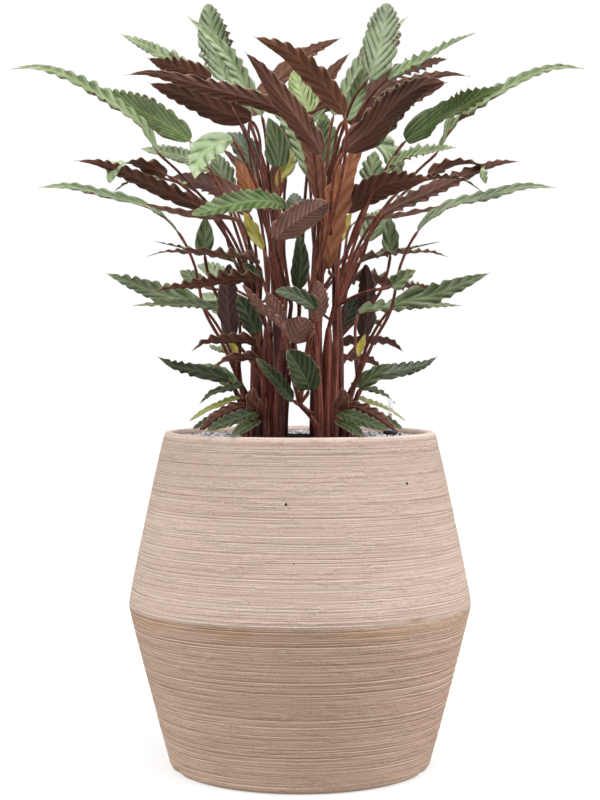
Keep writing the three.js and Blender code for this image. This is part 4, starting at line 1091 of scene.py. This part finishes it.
def soil_piece():
    chance = np.random.default_rng(31)
    pile = Pile()
    shelf = MULCH_BOTTOM - 1
    low, waist, high = outer_radius(np.array([FLOOR + 1, WAIST_HEIGHT, shelf])) - WALL - CLEARANCE
    profile = [(60, FLOOR + CLEARANCE), (low, FLOOR + CLEARANCE), (waist, WAIST_HEIGHT), (high, shelf),
               (MULCH_HOLE_RADIUS + 14, shelf), (MULCH_HOLE_RADIUS + 2, shelf)]
    in_bed = len(profile)
    profile += [(r, SOIL_MOUND_TOP - 7 * (r / MULCH_HOLE_RADIUS) ** 6)
                for r in np.linspace(MULCH_HOLE_RADIUS, 2, SOIL_RINGS)]
    turn, radius, height = ring_grid(profile, SOIL_COLUMNS)
    x, y = radius * np.cos(turn), radius * np.sin(turn)
    bumps = (1.6 * np.sin(x * 0.17 + 1) * np.cos(y * 0.14)
             + 0.9 * np.sin(x * 0.53 + y * 0.31) * np.sin(y * 0.61 - x * 0.2))
    on_top = np.arange(len(profile))[:, None] >= in_bed
    height = height + on_top * (bumps - 1.6 + chance.normal(0, 0.45, height.shape))
    lathe(pile, turn, radius, height)
    for _ in range(CRUMBS):
        r, a = CRUMBS_RADIUS * math.sqrt(chance.random()), chance.uniform(0, FULL_TURN)
        up = SOIL_MOUND_TOP - 2.2 - 5 * (r / MULCH_HOLE_RADIUS) ** 6
        grain(pile, (r * math.cos(a), r * math.sin(a), up), chance.uniform(0.8, 2.6), 0.0, chance)
    pile.piece("soil_bed", [soil_crumb()], "soil")


def mulch_piece():
    chance = np.random.default_rng(41)
    pile = Pile()
    hole, bed = MULCH_HOLE_RADIUS, MULCH_TOP - 2.5
    outer = outer_radius(MULCH_TOP) - WALL - CLEARANCE
    profile = [(hole + 0.5, MULCH_BOTTOM + 1), (outer + 1, MULCH_BOTTOM + 1), (outer, MULCH_TOP - 4),
               (outer - 12, bed), (hole + 14, bed), (hole + 2, MULCH_BOTTOM + 6)]
    # The bed under the chips is dark grey: painted shade in the gaps between them
    lathe(pile, *ring_grid(profile, CHIPS_COLUMNS), looped=True, tint=linear((84, 84, 88)))
    for _ in range(CHIPS):
        r = math.sqrt(chance.uniform((hole + 1) ** 2, (outer - 2.5) ** 2))
        a = chance.uniform(0, FULL_TURN)
        x, y = r * math.cos(a), r * math.sin(a)
        if math.hypot(x - GAUGE_PLACE[0], y - GAUGE_PLACE[1]) < GAUGE_CAP_RADIUS + 2.2:
            continue
        tone = CHIP_TONES[chance.choice(len(CHIP_TONES), p=CHIP_ODDS)]
        up = MULCH_TOP - 8 + 6.2 * clamp((r - hole) / 12) + chance.uniform(-1.2, 1.3)
        size = chance.uniform(1.7, 3.4)
        grain(pile, (x, y, up), size, linear(tone) * chance.uniform(0.85, 1.05), chance)
    pile.piece("mulch_stones", [chip_stone()], "mulch", smooth=False)


def gauge_pieces():
    outer, bore, cap, hold = GAUGE_TUBE_RADIUS, GAUGE_BORE_RADIUS, GAUGE_CAP_RADIUS, GAUGE_TUBE_RADIUS + 0.35
    rod, mark_from = bore - 0.2, GAUGE_FLOAT_TOP - GAUGE_FLOAT_MARK
    low, top = GAUGE_CAP_BOTTOM, GAUGE_CAP_BOTTOM + GAUGE_CAP_HEIGHT
    clear = plastic("clear_plastic", (246, 247, 249), (250, 250, 252), (0.1, 0.2),
                    Transmission_Weight=0.85, IOR=1.03)
    amber = plastic("float_plastic", (240, 162, 10), (248, 180, 30), (0.35, 0.5), mark_from, (232, 232, 230))
    dark = plastic("dark_plastic", (34, 24, 42), (46, 34, 56), (0.3, 0.42))
    tube_profile = [(outer, GAUGE_FOOT), (outer, 400), (outer, GAUGE_TOP - 0.4), (outer - 0.4, GAUGE_TOP),
                    (bore + 0.3, GAUGE_TOP), (bore, GAUGE_TOP - 0.4), (bore, 400), (bore, GAUGE_FOOT + 2)]
    float_profile = [(rod, GAUGE_FOOT + 2.4), (rod, 400), (rod, GAUGE_FLOAT_TOP - 0.5),
                     (bore - 0.6, GAUGE_FLOAT_TOP)]
    cap_profile = [(hold, low), (cap - 0.8, low), (cap, low + 0.8), (cap, top - 1.4), (cap - 0.5, top - 0.5),
                   (cap - 1.5, top), (hold + 0.8, top), (hold, top - 0.6)]
    for name, profile, finish, node in (("gauge_pipe", tube_profile, clear, "gauge_tube"),
                                        ("gauge_mark", float_profile, amber, "gauge_float")):
        pile = Pile()
        lathe(pile, *ring_grid(profile, TUBE_COLUMNS), centre=GAUGE_PLACE)
        pile.piece(name, [finish], node)
    turn, radius, height = ring_grid(cap_profile, CAP_COLUMNS)
    grooved = (radius > cap - 0.3) & (np.cos(CAP_GROOVES * turn) > 0)
    pile = Pile()
    lathe(pile, turn, radius - CAP_GROOVE_DEPTH * grooved, height, GAUGE_PLACE, looped=True)
    pile.piece("gauge_collar", [dark], "gauge_cap")


seed = SEED
for name, root, fork, radius, kind, leaves in PAIRED_SHOOTS:
    other = [([twin(p, kind) for p in stalk], [twin(p, kind) for p in spread],
              *rest, SHADED_TWIN_TONES.get(upper, upper), under) for stalk, spread, *rest, upper, under in leaves]
    shoot_piece(name + "_left", root, fork, radius, leaves, seed)
    shoot_piece(name + "_right", twin(root, kind), twin(fork, kind), radius, other, seed + 1)
    seed += 2
for name, root, fork, radius, leaves in SINGLE_SHOOTS:
    shoot_piece(name, root, fork, radius, leaves, seed)
    seed += 1
planter_piece()
soil_piece()
mulch_piece()
gauge_pieces()


# Floor, light and camera, in metres

STAGE_RADIUS = 9
STAGE_COLUMNS, DOME_RINGS = 96, 24
FLOOR_LEVEL = -0.0005
WHITE, GREY, BLACK = (1, 1, 1, 1), (0.34, 0.34, 0.34, 1), (0, 0, 0, 1)
# Soft lights: name, azimuth (0 is the front and 90 the right), elevation and spread in degrees, strength
SUNS = (("key", 0, 62, 44, 1.44), ("left", -72, 34, 50, 1.8),
        ("right", 78, 34, 50, 2.32), ("back", 180, 50, 50, 0.5))
WORLD_STRENGTH = 0.45
CAMERA_PLACE = (0, -2.1576, 0.51649)
CAMERA_TILT = 1.604
CAMERA_LENS, CAMERA_SENSOR = 77.71, 36


def stage_disc(name, rings, material):
    """A surface of the studio, from (radius, height) rings."""
    turn, radius, height = ring_grid(rings, STAGE_COLUMNS)
    points = np.stack([radius * np.cos(turn), radius * np.sin(turn), height], -1).reshape(-1, 3)
    mesh = bpy.data.meshes.new(name)
    mesh.from_pydata(points.tolist(), [], grid(len(rings), STAGE_COLUMNS).tolist())
    mesh.materials.append(material)
    made = add_object(name, mesh)
    made.visible_diffuse = made.visible_glossy = False
    return made


paper = Finish("floor_paper", Base_Color=GREY, Roughness=0.9, Emission_Color=WHITE, Emission_Strength=0.62)
glow = Finish("backdrop_glow", Base_Color=BLACK, Roughness=1.0, Emission_Color=WHITE, Emission_Strength=1.0)
stage_disc("floor", [(0.001, FLOOR_LEVEL), (STAGE_RADIUS, FLOOR_LEVEL)], paper.material)
dome = [(STAGE_RADIUS * math.cos(a), STAGE_RADIUS * math.sin(a))
        for a in np.linspace(0, math.pi / 2 - 0.01, DOME_RINGS)]
stage_disc("backdrop", dome, glow.material).visible_shadow = False

for name, azimuth, elevation, spread, strength in SUNS:
    sun = bpy.data.lights.new(name, "SUN")
    sun.angle, sun.energy = math.radians(spread), strength
    add_object(name, sun).rotation_euler = (math.radians(90 - elevation), 0, math.radians(azimuth))

world = bpy.data.worlds.new("studio")
world.use_nodes = True
background = world.node_tree.nodes["Background"]
background.inputs["Color"].default_value = WHITE
background.inputs["Strength"].default_value = WORLD_STRENGTH
bpy.context.scene.world = world
bpy.context.scene.view_settings.view_transform = "Standard"

lens = bpy.data.cameras.new("camera")
lens.lens, lens.sensor_width = CAMERA_LENS, CAMERA_SENSOR
camera = add_object("camera", lens)
camera.location = CAMERA_PLACE
camera.rotation_euler = (math.radians(90 - CAMERA_TILT), 0, 0)
bpy.context.scene.camera = camera
